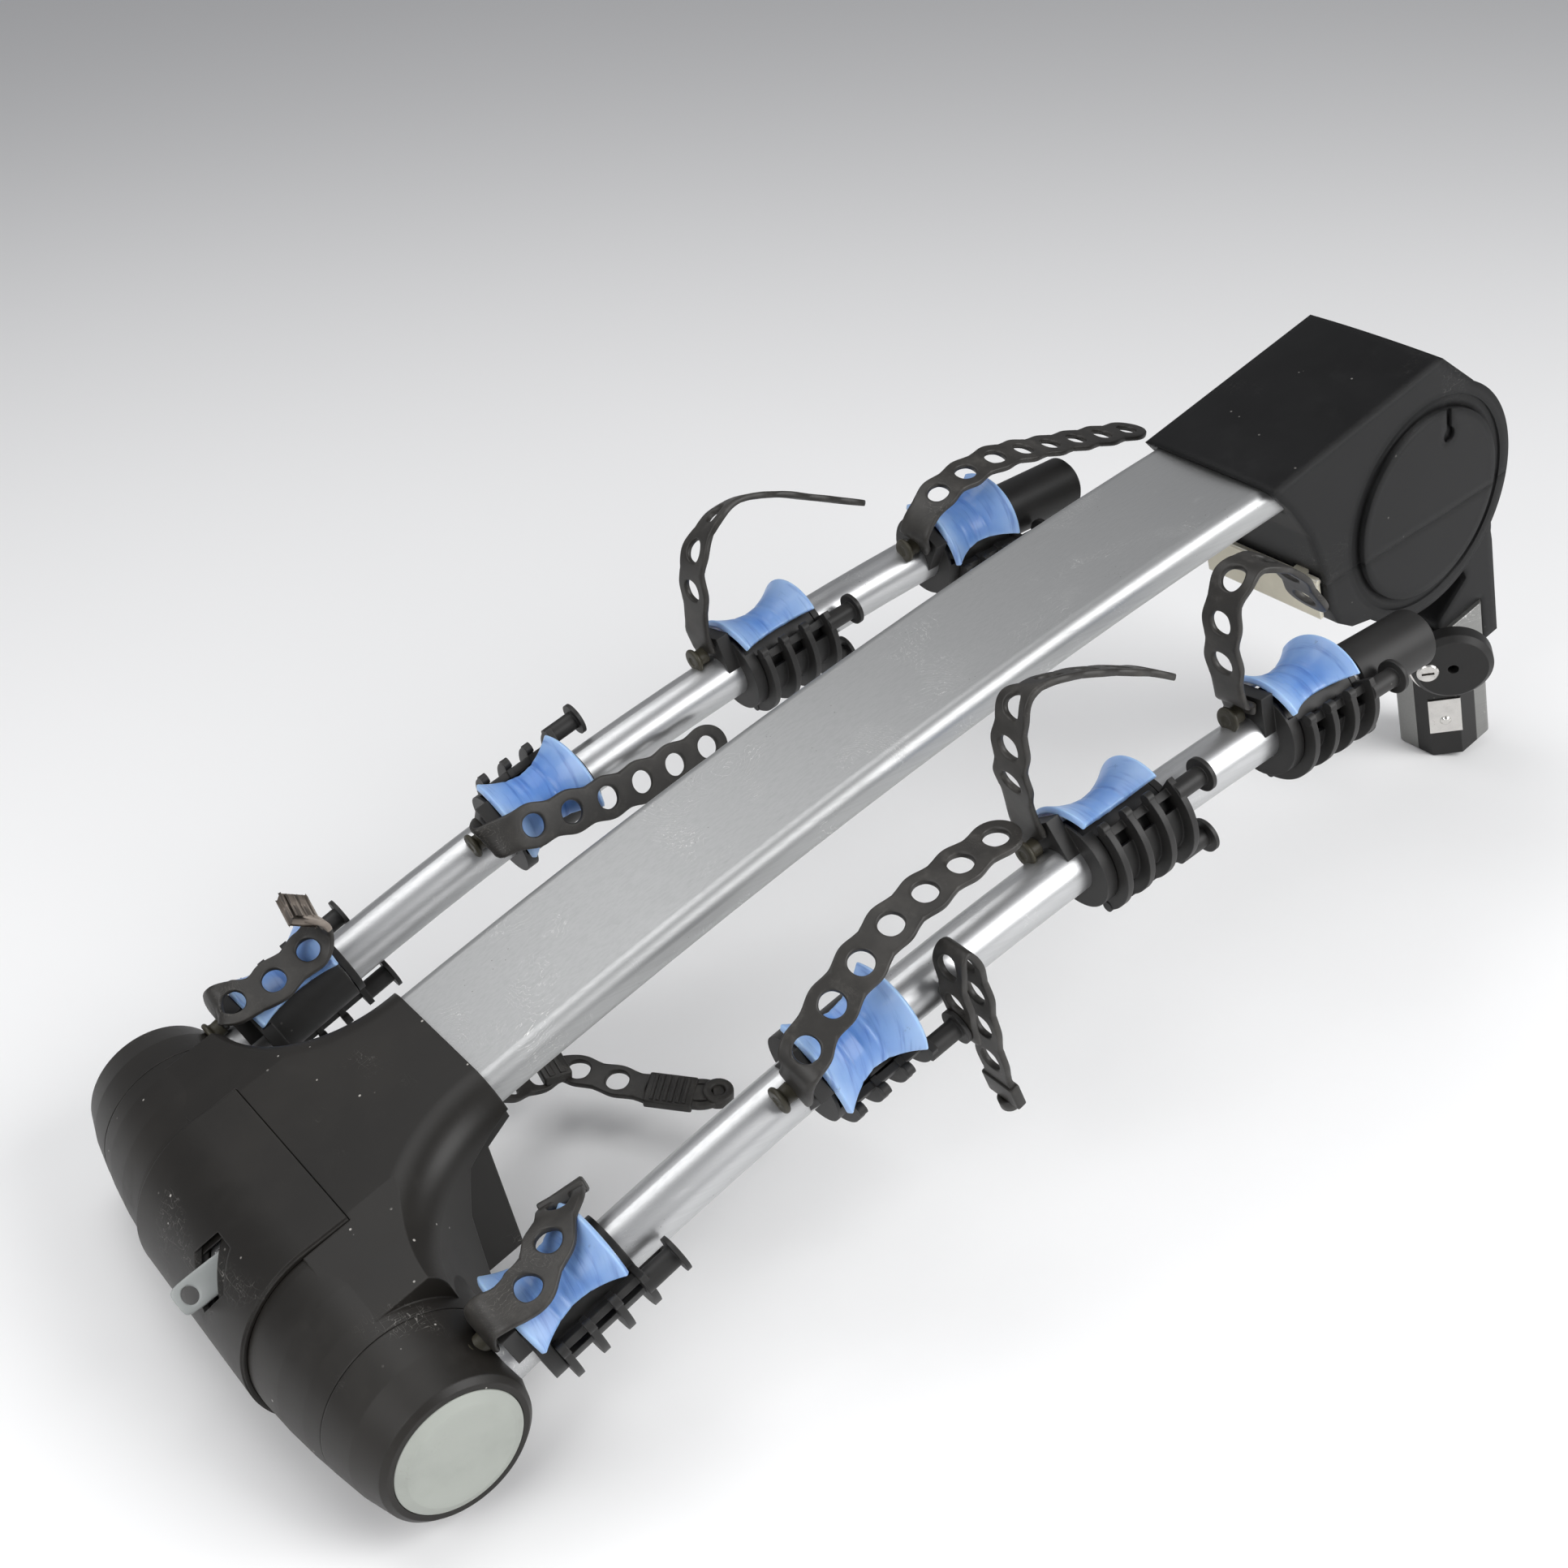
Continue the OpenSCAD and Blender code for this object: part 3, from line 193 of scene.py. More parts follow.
class Paint:
    """One material under construction."""

    def __init__(self, name: str) -> None:
        """Start an empty node tree.

        Args:
            name: The material's name.
        """
        self.material = bpy.data.materials.new(name)
        self.material.use_nodes = True
        self.tree = self.material.node_tree
        self.tree.nodes.clear()
        self.place = self.node("ShaderNodeTexCoord", {}, {}, out="Object")

    def node(self, kind: str, settings: dict, sockets: dict, out: int | str = 0) -> Sock:
        """Add a node, set it up and link its inputs.

        Args:
            kind: Blender's node type.
            settings: Properties of the node, set before the sockets.
            sockets: Input name or index to a value or a Sock.
            out: Name or index of the output to hand back.

        Returns:
            The chosen output.
        """
        made = self.tree.nodes.new(kind)
        for key, value in settings.items():
            setattr(made, key, value)
        for key, value in sockets.items():
            target = made.inputs[key]
            if isinstance(value, Sock):
                self.tree.links.new(value.socket, target)
            elif target.type == "RGBA" and len(value) == 3:
                target.default_value = (*value, 1.0)
            else:
                target.default_value = value
        return Sock(self, made.outputs[out])

    def stretched(self, x: float, y: float, z: float) -> Sock:
        """Object coordinates scaled by axis."""
        return self.node("ShaderNodeVectorMath", {"operation": "MULTIPLY"}, {0: self.place, 1: (x, y, z)})

    def noise(self, scale: float, detail: float = 3.0, rough: float = 0.55, at: Sock | None = None) -> Sock:
        """Fractal noise between 0 and 1."""
        sockets = {"Vector": at or self.place, "Scale": scale, "Detail": detail, "Roughness": rough}
        return self.node("ShaderNodeTexNoise", {}, sockets)

    def cells(self, scale: float) -> Sock:
        """Distance in a cell pattern."""
        return self.node("ShaderNodeTexVoronoi", {}, {"Vector": self.place, "Scale": scale}, out="Distance")

    def blend(self, a: Sock | Colour, b: Sock | Colour, share: Number) -> Sock:
        """Mix two colours.

        Args:
            a: The colour where the share is 0.
            b: The colour where the share is 1.
            share: How much of the second colour shows.

        Returns:
            The mixed colour.
        """
        made = self.tree.nodes.new("ShaderNodeMix")
        made.data_type = "RGBA"
        for key, value in ((0, share), (6, a), (7, b)):
            if isinstance(value, Sock):
                self.tree.links.new(value.socket, made.inputs[key])
            elif key == 0:
                made.inputs[key].default_value = value
            else:
                made.inputs[key].default_value = (*value, 1.0)
        return Sock(self, made.outputs[2])

    def scratches(self, scale: float, thin: float, across: float = 1.0) -> Sock:
        """Thin broken lines.

        Args:
            scale: How close the lines lie.
            thin: Their width, as a share of their distance.
            across: Stretch of the pattern along Y and Z.

        Returns:
            1 on a line and 0 off it.
        """
        sway = self.node("ShaderNodeTexNoise", {}, {"Vector": self.place, "Scale": 9.0}, out="Color")
        plain = self.stretched(1.0, across, across)
        bent = self.node("ShaderNodeVectorMath", {"operation": "ADD"}, {0: plain, 1: sway})
        line = self.node(
            "ShaderNodeTexWave",
            {"wave_type": "BANDS", "bands_direction": "DIAGONAL"},
            {"Vector": bent, "Scale": scale, "Distortion": 9.0, "Detail": 3.0, "Detail Scale": 1.6},
        )
        gate = self.noise(22.0, 2.0).between(0.52, 0.68)
        return line.between(1.0 - thin, 1.0) * gate

    def hairs(self, x: float, y: float, wide: float = 0.006) -> Sock:
        """Short fine scratches drawn out along one axis, where a stretched noise crosses a half.

        Args:
            x: Stretch of the noise along X.
            y: Stretch along Y.
            wide: How far from a half a hair still shows.

        Returns:
            1 on a hair and 0 off it.
        """
        line = self.noise(1.0, 1.0, 0.4, self.stretched(x * 10, y * 10, (x + y) * 5))
        off = (line - 0.5) * (line - 0.5)
        return off.between(wide * wide, 0.0) * self.noise(14.0, 2.0).between(0.62, 0.74)

    def rounded(self, radius: float) -> Sock:
        """Normal with softened edges."""
        return self.node("ShaderNodeBevel", {"samples": 4}, {"Radius": radius}, out="Normal")

    def bump(self, height: Sock, distance: float, strength: float, normal: Sock | None = None) -> Sock:
        """A bumped normal.

        Args:
            height: The bumps.
            distance: Their height, in metres.
            strength: How much of them shows.
            normal: The normal under them, where it isn't the surface's own.

        Returns:
            The normal.
        """
        sockets: dict = {"Height": height, "Distance": distance, "Strength": strength}
        if normal is not None:
            sockets["Normal"] = normal
        return self.node("ShaderNodeBump", {}, sockets)

    def worn_edge(self) -> Sock:
        """Find the edges that wear.

        Returns:
            1 on sharp edges and 0 on flats.
        """
        soft = self.rounded(WEAR_RADIUS)
        flat = self.node("ShaderNodeNewGeometry", {}, {}, out="Normal")
        same = {"operation": "DOT_PRODUCT"}
        dot = self.node("ShaderNodeVectorMath", same, {0: soft, 1: flat}, out="Value")
        return (1.0 - dot).between(0.015, 0.16)

    def surface(self, **sockets: Number | Colour) -> bpy.types.Material:
        """Close the material with a Principled shader.

        Args:
            **sockets: Socket names with spaces as underscores, and their values.

        Returns:
            The finished material.
        """
        named = {key.replace("_", " "): value for key, value in sockets.items()}
        shader = self.node("ShaderNodeBsdfPrincipled", {}, named)
        end = self.tree.nodes.new("ShaderNodeOutputMaterial")
        self.tree.links.new(shader.socket, end.inputs["Surface"])
        return self.material


# Finishes


@dataclass(frozen=True)
class SatinSilver:
    """Anodised aluminium with a drawn grain along X and handling marks."""

    name: str
    tone: Colour = (0.66, 0.67, 0.68)
    rough: float = 0.30
    grain: float = 1.0

    def make(self) -> bpy.types.Material:
        """Build the material.

        Returns:
            The finished material.
        """
        p = Paint(self.name)
        drawn = p.noise(1.0, 4.0, 0.6, p.stretched(6.0, 620.0, 620.0))
        cloud = p.noise(5.0, 3.0)
        rub = p.noise(1.0, 3.0, 0.7, p.stretched(38.0, 160.0, 160.0)).between(0.6, 0.8)
        nick = p.scratches(30.0, 0.018, 5.0)
        pit = p.cells(240.0).between(0.13, 0.05) * p.noise(36.0, 1.0).between(0.6, 0.7)
        tone = p.blend(self.tone, tuple(0.86 * c for c in self.tone), drawn.between(0.35, 0.75) * 0.5)
        dull = (cloud.between(0.45, 0.8) * 0.35 + rub * 0.2).held()
        tone = p.blend(tone, tuple(0.80 * c for c in self.tone), dull)
        tone = p.blend(tone, (0.9, 0.9, 0.88), nick * 0.6)
        tone = p.blend(tone, (0.18, 0.17, 0.16), pit * 0.7)
        rough = (self.rough + drawn * 0.12 * self.grain + cloud * 0.1 + rub * 0.1).held()
        height = drawn * 0.25 * self.grain - nick * 0.8 - pit
        normal = p.bump(height, 0.00005, 0.6, p.rounded(0.0012))
        return p.surface(Base_Color=tone, Metallic=0.92, Roughness=rough, Normal=normal)


@dataclass(frozen=True)
class MouldedPlastic:
    """Matte black moulded plastic with spark texture, scuffs, specks and rubbed edges."""

    name: str
    tone: Colour = (0.036, 0.033, 0.030)
    rough: float = 0.46
    specks: float = 1.0
    edge: float = 0.0012
    shine: float = 0.36

    def make(self) -> bpy.types.Material:
        """Build the material.

        Returns:
            The finished material.
        """
        p = Paint(self.name)
        spark = p.noise(1500.0, 3.0, 0.6)
        cloud = p.noise(9.0, 4.0, 0.6)
        dust = p.noise(26.0, 6.0, 0.75).between(0.50, 0.85)
        scuff = p.hairs(7.0, 34.0).most(p.hairs(34.0, 6.0)) * self.specks
        speck = p.cells(95.0).between(0.085, 0.05) * p.noise(17.0, 1.0).between(0.56, 0.62) * self.specks
        edge = p.worn_edge() * p.noise(60.0, 3.0).between(0.3, 0.7)
        pale = tuple(min(1.0, 4.2 * c + 0.03) for c in self.tone)
        tone = p.blend(self.tone, tuple(1.7 * c for c in self.tone), cloud.between(0.35, 0.75))
        tone = p.blend(tone, pale, (dust * 0.10 + edge * 0.35).held())
        tone = p.blend(tone, (0.46, 0.44, 0.41), (scuff * 0.35 + speck * 0.8).held())
        rough = (self.rough + spark * 0.06 + cloud * 0.12 + dust * 0.12 - edge * 0.08).held()
        height = spark * 0.5 - scuff * 0.7 + speck * 0.5
        return p.surface(
            Base_Color=tone,
            Roughness=rough,
            Specular_IOR_Level=self.shine,
            Normal=p.bump(height, 0.00006, 0.55, p.rounded(self.edge)),
        )


@dataclass(frozen=True)
class LadderRubber:
    """Black strap rubber, dusty in its low places and greyed where it rubs."""

    name: str
    tone: Colour = (0.017, 0.0155, 0.0135)

    def make(self) -> bpy.types.Material:
        """Build the material.

        Returns:
            The finished material.
        """
        p = Paint(self.name)
        fine = p.noise(900.0, 3.0)
        cloud = p.noise(30.0, 4.0, 0.65)
        bloom = p.noise(70.0, 5.0, 0.7).between(0.5, 0.8)
        rub = p.scratches(60.0, 0.02)
        dusty = tuple(2.4 * c + 0.006 for c in self.tone)
        tone = p.blend(self.tone, dusty, cloud.between(0.4, 0.75) * 0.6)
        tone = p.blend(tone, (0.16, 0.15, 0.135), (bloom * 0.22 + rub * 0.5).held())
        rough = (0.44 + fine * 0.08 + bloom * 0.15).held()
        normal = p.bump(fine * 0.5 + cloud * 0.8, 0.00012, 0.5)
        return p.surface(Base_Color=tone, Roughness=rough, Specular_IOR_Level=0.45, Normal=normal)


@dataclass(frozen=True)
class SoftBlue:
    """Milky blue cradle rubber, streaked where frames have rubbed it."""

    name: str

    def make(self) -> bpy.types.Material:
        """Build the material.

        Returns:
            The finished material.
        """
        p = Paint(self.name)
        streak = p.noise(1.0, 3.0, 0.6, p.stretched(260.0, 22.0, 22.0)).between(0.5, 0.75)
        cloud = p.noise(24.0, 3.0)
        grime = p.noise(75.0, 5.0, 0.75).between(0.63, 0.75)
        lip = p.node("ShaderNodeAttribute", {"attribute_name": "lip"}, {}, out="Fac")
        milk = (lip * 0.8 + cloud.between(0.35, 0.65) * 0.3).held()
        tone = p.blend((0.075, 0.205, 0.53), (0.34, 0.50, 0.76), milk)
        tone = p.blend(tone, (0.03, 0.10, 0.36), streak * 0.6)
        tone = p.blend(tone, (0.05, 0.05, 0.06), grime * lip * 0.6)
        fine = p.noise(500.0, 2.0)
        rough = (0.36 + cloud * 0.1 + grime * 0.25).held()
        return p.surface(
            Base_Color=tone,
            Roughness=rough,
            Subsurface_Weight=0.45,
            Subsurface_Radius=(0.35, 0.6, 1.0),
            Subsurface_Scale=0.006,
            Coat_Weight=0.15,
            Normal=p.bump(fine * 0.4 - streak, 0.0001, 0.6),
        )


@dataclass(frozen=True)
class PalePlastic:
    """Pale moulded plastic with fine grain and grey handling marks."""

    name: str
    tone: Colour = (0.62, 0.64, 0.61)
    rough: float = 0.42
    edge: float = 0.0008

    def make(self) -> bpy.types.Material:
        """Build the material.

        Returns:
            The finished material.
        """
        p = Paint(self.name)
        fine = p.noise(1100.0, 3.0)
        cloud = p.noise(18.0, 4.0, 0.6)
        mark = p.scratches(48.0, 0.016).most(p.noise(60.0, 5.0, 0.8).between(0.66, 0.76) * 0.6)
        tone = p.blend(self.tone, tuple(0.84 * c for c in self.tone), cloud.between(0.4, 0.75))
        tone = p.blend(tone, (0.24, 0.23, 0.21), mark * 0.4)
        tone = p.blend(tone, (0.85, 0.86, 0.84), p.worn_edge() * 0.5)
        rough = (self.rough + fine * 0.06 + cloud * 0.1).held()
        normal = p.bump(fine - mark * 0.8, 0.00005, 0.5, p.rounded(self.edge))
        return p.surface(Base_Color=tone, Roughness=rough, Normal=normal)


@dataclass(frozen=True)
class BrightSteel:
    """Plated steel with fine pitting and grey haze."""

    name: str
    tone: Colour = (0.78, 0.76, 0.73)
    rough: float = 0.16

    def make(self) -> bpy.types.Material:
        """Build the material.

        Returns:
            The finished material.
        """
        p = Paint(self.name)
        haze = p.noise(45.0, 4.0, 0.7)
        pit = p.cells(420.0).between(0.14, 0.05) * p.noise(80.0, 2.0).between(0.5, 0.62)
        line = p.scratches(90.0, 0.02)
        tone = p.blend(self.tone, tuple(0.72 * c for c in self.tone), haze.between(0.4, 0.75) * 0.7)
        tone = p.blend(tone, (0.22, 0.14, 0.08), pit * 0.7)
        rough = (self.rough + haze * 0.14 + line * 0.25 + pit * 0.4).held()
        normal = p.bump(haze * 0.2 - pit - line, 0.00004, 0.6, p.rounded(0.0006))
        return p.surface(Base_Color=tone, Metallic=1.0, Roughness=rough, Normal=normal)


class Finish(Enum):
    """The finishes that the rack's pieces share."""

    MAST = SatinSilver("satin_mast", (0.47, 0.475, 0.475), 0.36, 1.0)
    ARM = SatinSilver("satin_arm", (0.54, 0.545, 0.55), 0.28, 0.8)
    TUBE = SatinSilver("zinc_tube", (0.30, 0.30, 0.29), 0.30, 0.6)
    HEAD = MouldedPlastic("head_plastic", (0.0100, 0.0088, 0.0074), 0.36, 1.0, 0.0012, 0.33)
    HOUSING = MouldedPlastic("housing_plastic", (0.0050, 0.0050, 0.0052), 0.33, 0.4, 0.008, 0.20)
    FITTING = MouldedPlastic("fitting_plastic", (0.014, 0.0135, 0.013), 0.40, 0.15, 0.0010)
    PEG = MouldedPlastic("peg_plastic", (0.030, 0.027, 0.018), 0.36, 0.1, 0.0010)
    RUBBER = LadderRubber("strap_rubber")
    FADED = LadderRubber("faded_rubber", (0.20, 0.17, 0.145))
    BLUE = SoftBlue("cradle_blue")
    CAP = PalePlastic("cap_plastic", (0.37, 0.39, 0.355))
    LOOP = PalePlastic("loop_coat", (0.27, 0.285, 0.28), 0.30, 0.002)
    CREAM = PalePlastic("lever_coat", (0.66, 0.62, 0.50), 0.5)
    BRIGHT = BrightSteel("bright_steel")
    CAST = BrightSteel("cast_steel", (0.34, 0.34, 0.34), 0.42)


@functools.cache
def material_of(finish: Finish) -> bpy.types.Material:
    """The material of a finish, made once."""
    return finish.value.make()


# Carried-over pieces


class Side(Enum):
    """The two arms, seen in the photograph."""

    NEAR = -1
    FAR = 1

    @property
    def word(self) -> str:
        """The side's name, as the pieces' names have it."""
        return self.name.lower()


@dataclass
class CarriedPieces:
    """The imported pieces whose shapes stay, each with its finish."""

    whole: dict[Finish, str] = field(
        default_factory=lambda: {
            Finish.TUBE: "hitch_tube",
            Finish.HOUSING: "hitch_bracket base_upper_shell base_lower_shell",
            Finish.BRIGHT: "pivot_pin wedge_plate wedge_rivet knob_lock knob_wire",
            Finish.FITTING: "corner_wedge hitch_knob",
            Finish.CAST: "draw_rod head_core head_axle base_yoke",
            Finish.MAST: "mast",
            Finish.HEAD: "head_cover head_underside fold_lever",
            Finish.LOOP: "lock_loop",
            Finish.CREAM: "tilt_lever",
        }
    )
    by_arm: dict[Finish, str] = field(
        default_factory=lambda: {
            Finish.HEAD: "hub",
            Finish.CAP: "end_cap",
            Finish.ARM: "arm_tube",
            Finish.FITTING: "tip_cap clamps cage_1 cage_2 cage_3 cage_4",
            Finish.BLUE: "saddles",
        }
    )

    def dress(self, nodes: dict[str, bpy.types.Object]) -> int:
        """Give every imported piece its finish.

        Args:
            nodes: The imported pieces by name.

        Returns:
            How many pieces were dressed.
        """
        table = {name: finish for finish, names in self.whole.items() for name in names.split()}
        for finish, names in self.by_arm.items():
            table.update({f"{side.word}_{name}": finish for side in Side for name in names.split()})
        for name, node in nodes.items():
            node.data.materials.clear()
            node.data.materials.append(material_of(table.get(name, Finish.RUBBER)))
        return len(nodes)


# Ladder straps


class StrapPath:
    """A smooth route through rows of a middle point and a width direction, Y where left out."""

    STEPS = 14
    USUAL = (0.0, 1.0, 0.0)

    def __init__(self, rows: Sequence[Row], place: Mover, turn: Mover) -> None:
        """Sample the route finely.

        Args:
            rows: Points and width directions, in millimetres.
            place: Brings a point into the shared frame, in metres.
            turn: Brings a direction into the shared frame.
        """
        fine = self._finer([list(r if len(r) > 3 else (*r, *self.USUAL)) for r in rows], self.STEPS)
        self.points = [place(Vector(r[:3])) for r in fine]
        self.across = [turn(Vector(r[3:]).normalized()) for r in fine]
        self.reach = [0.0]
        for a, b in zip(self.points, self.points[1:]):
            self.reach.append(self.reach[-1] + (b - a).length)
        self.length = self.reach[-1]

    @staticmethod
    def _finer(rows: list[list[float]], steps: int) -> list[list[float]]:
        """Run a smooth curve through the rows.

        Args:
            rows: The given rows.
            steps: How many rows take the place of each.

        Returns:
            The finer rows.
        """
        out: list[list[float]] = []
        last = len(rows) - 1
        for i in range(last):
            a, b, c, d = (rows[max(0, min(last, i + k))] for k in (-1, 0, 1, 2))
            for k in range(steps):
                t = k / steps
                row = []
                for p, q, r, s in zip(a, b, c, d):
                    bend = (2 * p - 5 * q + 4 * r - s) * t * t + (3 * q - p - 3 * r + s) * t**3
                    row.append(0.5 * (2 * q + (r - p) * t + bend))
                out.append(row)
        out.append(rows[last])
        return out

    def frame_at(self, s: float) -> tuple[Vector, Vector, Vector]:
        """Point, width direction and outward direction at a distance along the route.

        Args:
            s: Distance in metres; past the end the route goes on straight.

        Returns:
            The point, the unit width direction and the unit outward direction.
        """
        n = len(self.points)
        j = max(0, min(n - 2, next((i for i in range(n - 1) if self.reach[i + 1] >= s), n - 2)))
        span = self.reach[j + 1] - self.reach[j]
        t = (s - self.reach[j]) / span if span > 0 else 0.0
        point = self.points[j].lerp(self.points[j + 1], t)
        lo, hi = max(0, j - 2), min(n - 1, j + 3)
        ahead = (self.points[hi] - self.points[lo]).normalized()
        u = max(0.0, min(1.0, t))
        side = self.across[j].lerp(self.across[j + 1], u)
        out = ahead.cross(side).normalized()
        return point, out.cross(ahead).normalized(), out


@dataclass
class LadderStrap:
    """One rubber ladder strap with round holes, a scalloped edge and a rounded tip, in millimetres."""

    name: str
    node: str
    body: str
    path: StrapPath
    finish: Finish = Finish.RUBBER
    thick: float = 4.0
    waist: float = 11.8
    bulge: float = 14.2
    hole: float = 7.2
    pitch: float = 26.5
    first: float = 24.0
    tip: float = 15.5
    rings: tuple[float, ...] = (0.0, 0.16, 0.5, 0.84, 1.0)
    faded: float = 0.0
    root_swell: float = 0.4
    cell: float = 6.0
    tip_steps: int = 12
    edge_steps: int = 8

    def _half(self, s: float, start: float) -> float:
        """Half width of the strap.

        Args:
            s: Distance along the strap.
            start: Where its holes begin.

        Returns:
            The half width there.
        """
        swell = self.bulge - self.waist
        if s < start:
            return self.waist + swell * self.root_swell * (1 - max(0.0, s) / start)
        return self.waist + swell * 0.5 * (1 - math.cos(2 * math.pi * (s - start) / self.pitch))

    def _edge_loop(self, centre: float, start: float, tip: bool) -> list[Point]:
        """Outline of one cell round a hole.

        Args:
            centre: Distance of the hole along the strap.
            start: Where the holes begin.
            tip: Whether the cell is the strap's rounded end.

        Returns:
            The outline's points, from the hole's middle.
        """
        p, n = self.pitch / 2, self.edge_steps
        side = [self.waist * k / 3 for k in range(-3, 4)]
        top = [p * (1 - 2 * k / n) for k in range(1, n)]
        loop: list[Point] = []
        if tip:
            for k in range(self.tip_steps + 1):
                a = math.radians(-90 + 180 * k / self.tip_steps)
                loop.append((self.tip * math.cos(a), self.bulge * math.sin(a)))
            top = [x for x in top if x < -0.5]
        else:
            loop += [(p, t) for t in side]
        loop += [(x, self._half(centre + x, start)) for x in top]
        loop += [(-p, t) for t in reversed(side)]
        loop += [(x, -self._half(centre + x, start)) for x in reversed(top)]
        return loop

    def _flat(self, mesh: Mesh) -> None:
        """Lay the strap out flat: x along, y across, in millimetres.

        Args:
            mesh: The working mesh.
        """
        length = self.path.length / MM
        count = max(1, int((length - self.first - self.tip + self.pitch / 2 - 0.1) // self.pitch))
        start = length - self.tip - (count - 0.5) * self.pitch
        parts = max(2, int(start // self.cell))
        cuts = [start * k / parts for k in range(parts + 1)]
        for a, b in zip(cuts, cuts[1:]):
            for k in range(-3, 3):
                q = [(s, self._half(s, start) * t / 3) for s, t in ((a, k), (b, k), (b, k + 1), (a, k + 1))]
                mesh.faces.new([mesh.verts.new((x, y, 0.0)) for x, y in q])
        for i in range(count):
            centre = start + (i + 0.5) * self.pitch
            loop = self._edge_loop(centre, start, i == count - 1)
            grid = []
            for x, y in loop:
                r = math.hypot(x, y)
                hx, hy = x / r * self.hole, y / r * self.hole
                spoke = [(centre + hx + (x - hx) * f, hy + (y - hy) * f, 0.0) for f in self.rings]
                grid.append([mesh.verts.new(spot) for spot in spoke])
            for g, h in zip(grid, grid[1:] + grid[:1]):
                for k in range(len(self.rings) - 1):
                    mesh.faces.new((g[k], g[k + 1], h[k + 1], h[k]))
        bmesh.ops.remove_doubles(mesh, verts=mesh.verts, dist=0.05)

    def build(self) -> bpy.types.Object:
        """Make the strap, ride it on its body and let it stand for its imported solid.

        Returns:
            The strap's object.
        """
        mesh = bmesh.new()
        self._flat(mesh)
        for face in mesh.faces:
            if face.calc_center_median().x > self.path.length / MM - self.faded:
                face.material_index = 1
        for v in mesh.verts:
            point, side, _ = self.path.frame_at(v.co.x * MM)
            v.co = point + side * v.co.y * MM
        bmesh.ops.recalc_face_normals(mesh, faces=mesh.faces)
        made = Shapes.link(self.name, mesh, material_of(self.finish))
        made.data.materials.append(material_of(Finish.FADED))
        solid = made.modifiers.new("thickness", "SOLIDIFY")
        solid.thickness, solid.offset = self.thick * MM, 0.0
        smooth = made.modifiers.new("roundness", "SUBSURF")
        smooth.levels = smooth.render_levels = 1
        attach(made, self.body)
        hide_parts(self.node)
        return made


class Shapes:
    """Small mesh makers that the sub-assemblies share."""

    @staticmethod
    def link(name: str, mesh: Mesh, material: bpy.types.Material) -> bpy.types.Object:
        """Turn a working mesh into an object with one material.

        Args:
            name: The object's name.
            mesh: The working mesh, which is freed.
            material: Its finish.

        Returns:
            The new object.
        """
        data = bpy.data.meshes.new(name)
        mesh.to_mesh(data)
        mesh.free()
        for face in data.polygons:
            face.use_smooth = True
        data.materials.append(material)
        made = bpy.data.objects.new(name, data)
        bpy.context.scene.collection.objects.link(made)
        return made

    @staticmethod
    def turned(
        mesh: Mesh,
        profile: Sequence[Point],
        origin: Vector,
        axis: Vector,
        count: int = 28,
        ring: bool = False,
    ) -> None:
        """Add a closed turned form.

        Args:
            mesh: The working mesh.
            profile: Distance along the axis and radius, in metres, from one end to the other.
            origin: Where the axis starts.
            axis: Its direction.
            count: Sides round the form.
            ring: Join the profile's ends, so that the form keeps its bore.
        """
        axis = axis.normalized()
        u = axis.orthogonal().normalized()
        v = axis.cross(u)
        turns = [2 * math.pi * k / count for k in range(count)]
        rays = [u * math.cos(a) + v * math.sin(a) for a in turns]
        loops = [[mesh.verts.new(origin + axis * h + ray * r) for ray in rays] for h, r in profile]
        for a, b in zip(loops, loops[1:] + (loops[:1] if ring else [])):
            for k in range(count):
                mesh.faces.new((a[k], a[(k + 1) % count], b[(k + 1) % count], b[k]))
        if not ring:
            mesh.faces.new(list(reversed(loops[0])))
            mesh.faces.new(loops[-1])

    @staticmethod
    def soften(made: bpy.types.Object, width: float) -> None:
        """Round an object's sharp edges by a width, in metres."""
        soft = made.modifiers.new("edges", "BEVEL")
        soft.width, soft.segments, soft.limit_method = width, 3, "ANGLE"

    @staticmethod
    def slab(mesh: Mesh, centre: Vector, axes: tuple[Vector, Vector, Vector], half: Span) -> None:
        """Add a block with chamfered edges.

        Args:
            mesh: The working mesh.
            centre: Its middle.
            axes: Its three unit directions.
            half: Half its size along each, in metres.
        """
        made = bmesh.ops.create_cube(mesh, size=2.0)["verts"]
        for v in made:
            c = v.co.copy()
            v.co = centre + sum((axes[k] * c[k] * half[k] for k in range(3)), Vector())
        edges = list(dict.fromkeys(e for v in made for e in v.link_edges))
        bmesh.ops.bevel(mesh, geom=edges, offset=min(half) * 0.45, segments=3, affect="EDGES", profile=0.6)


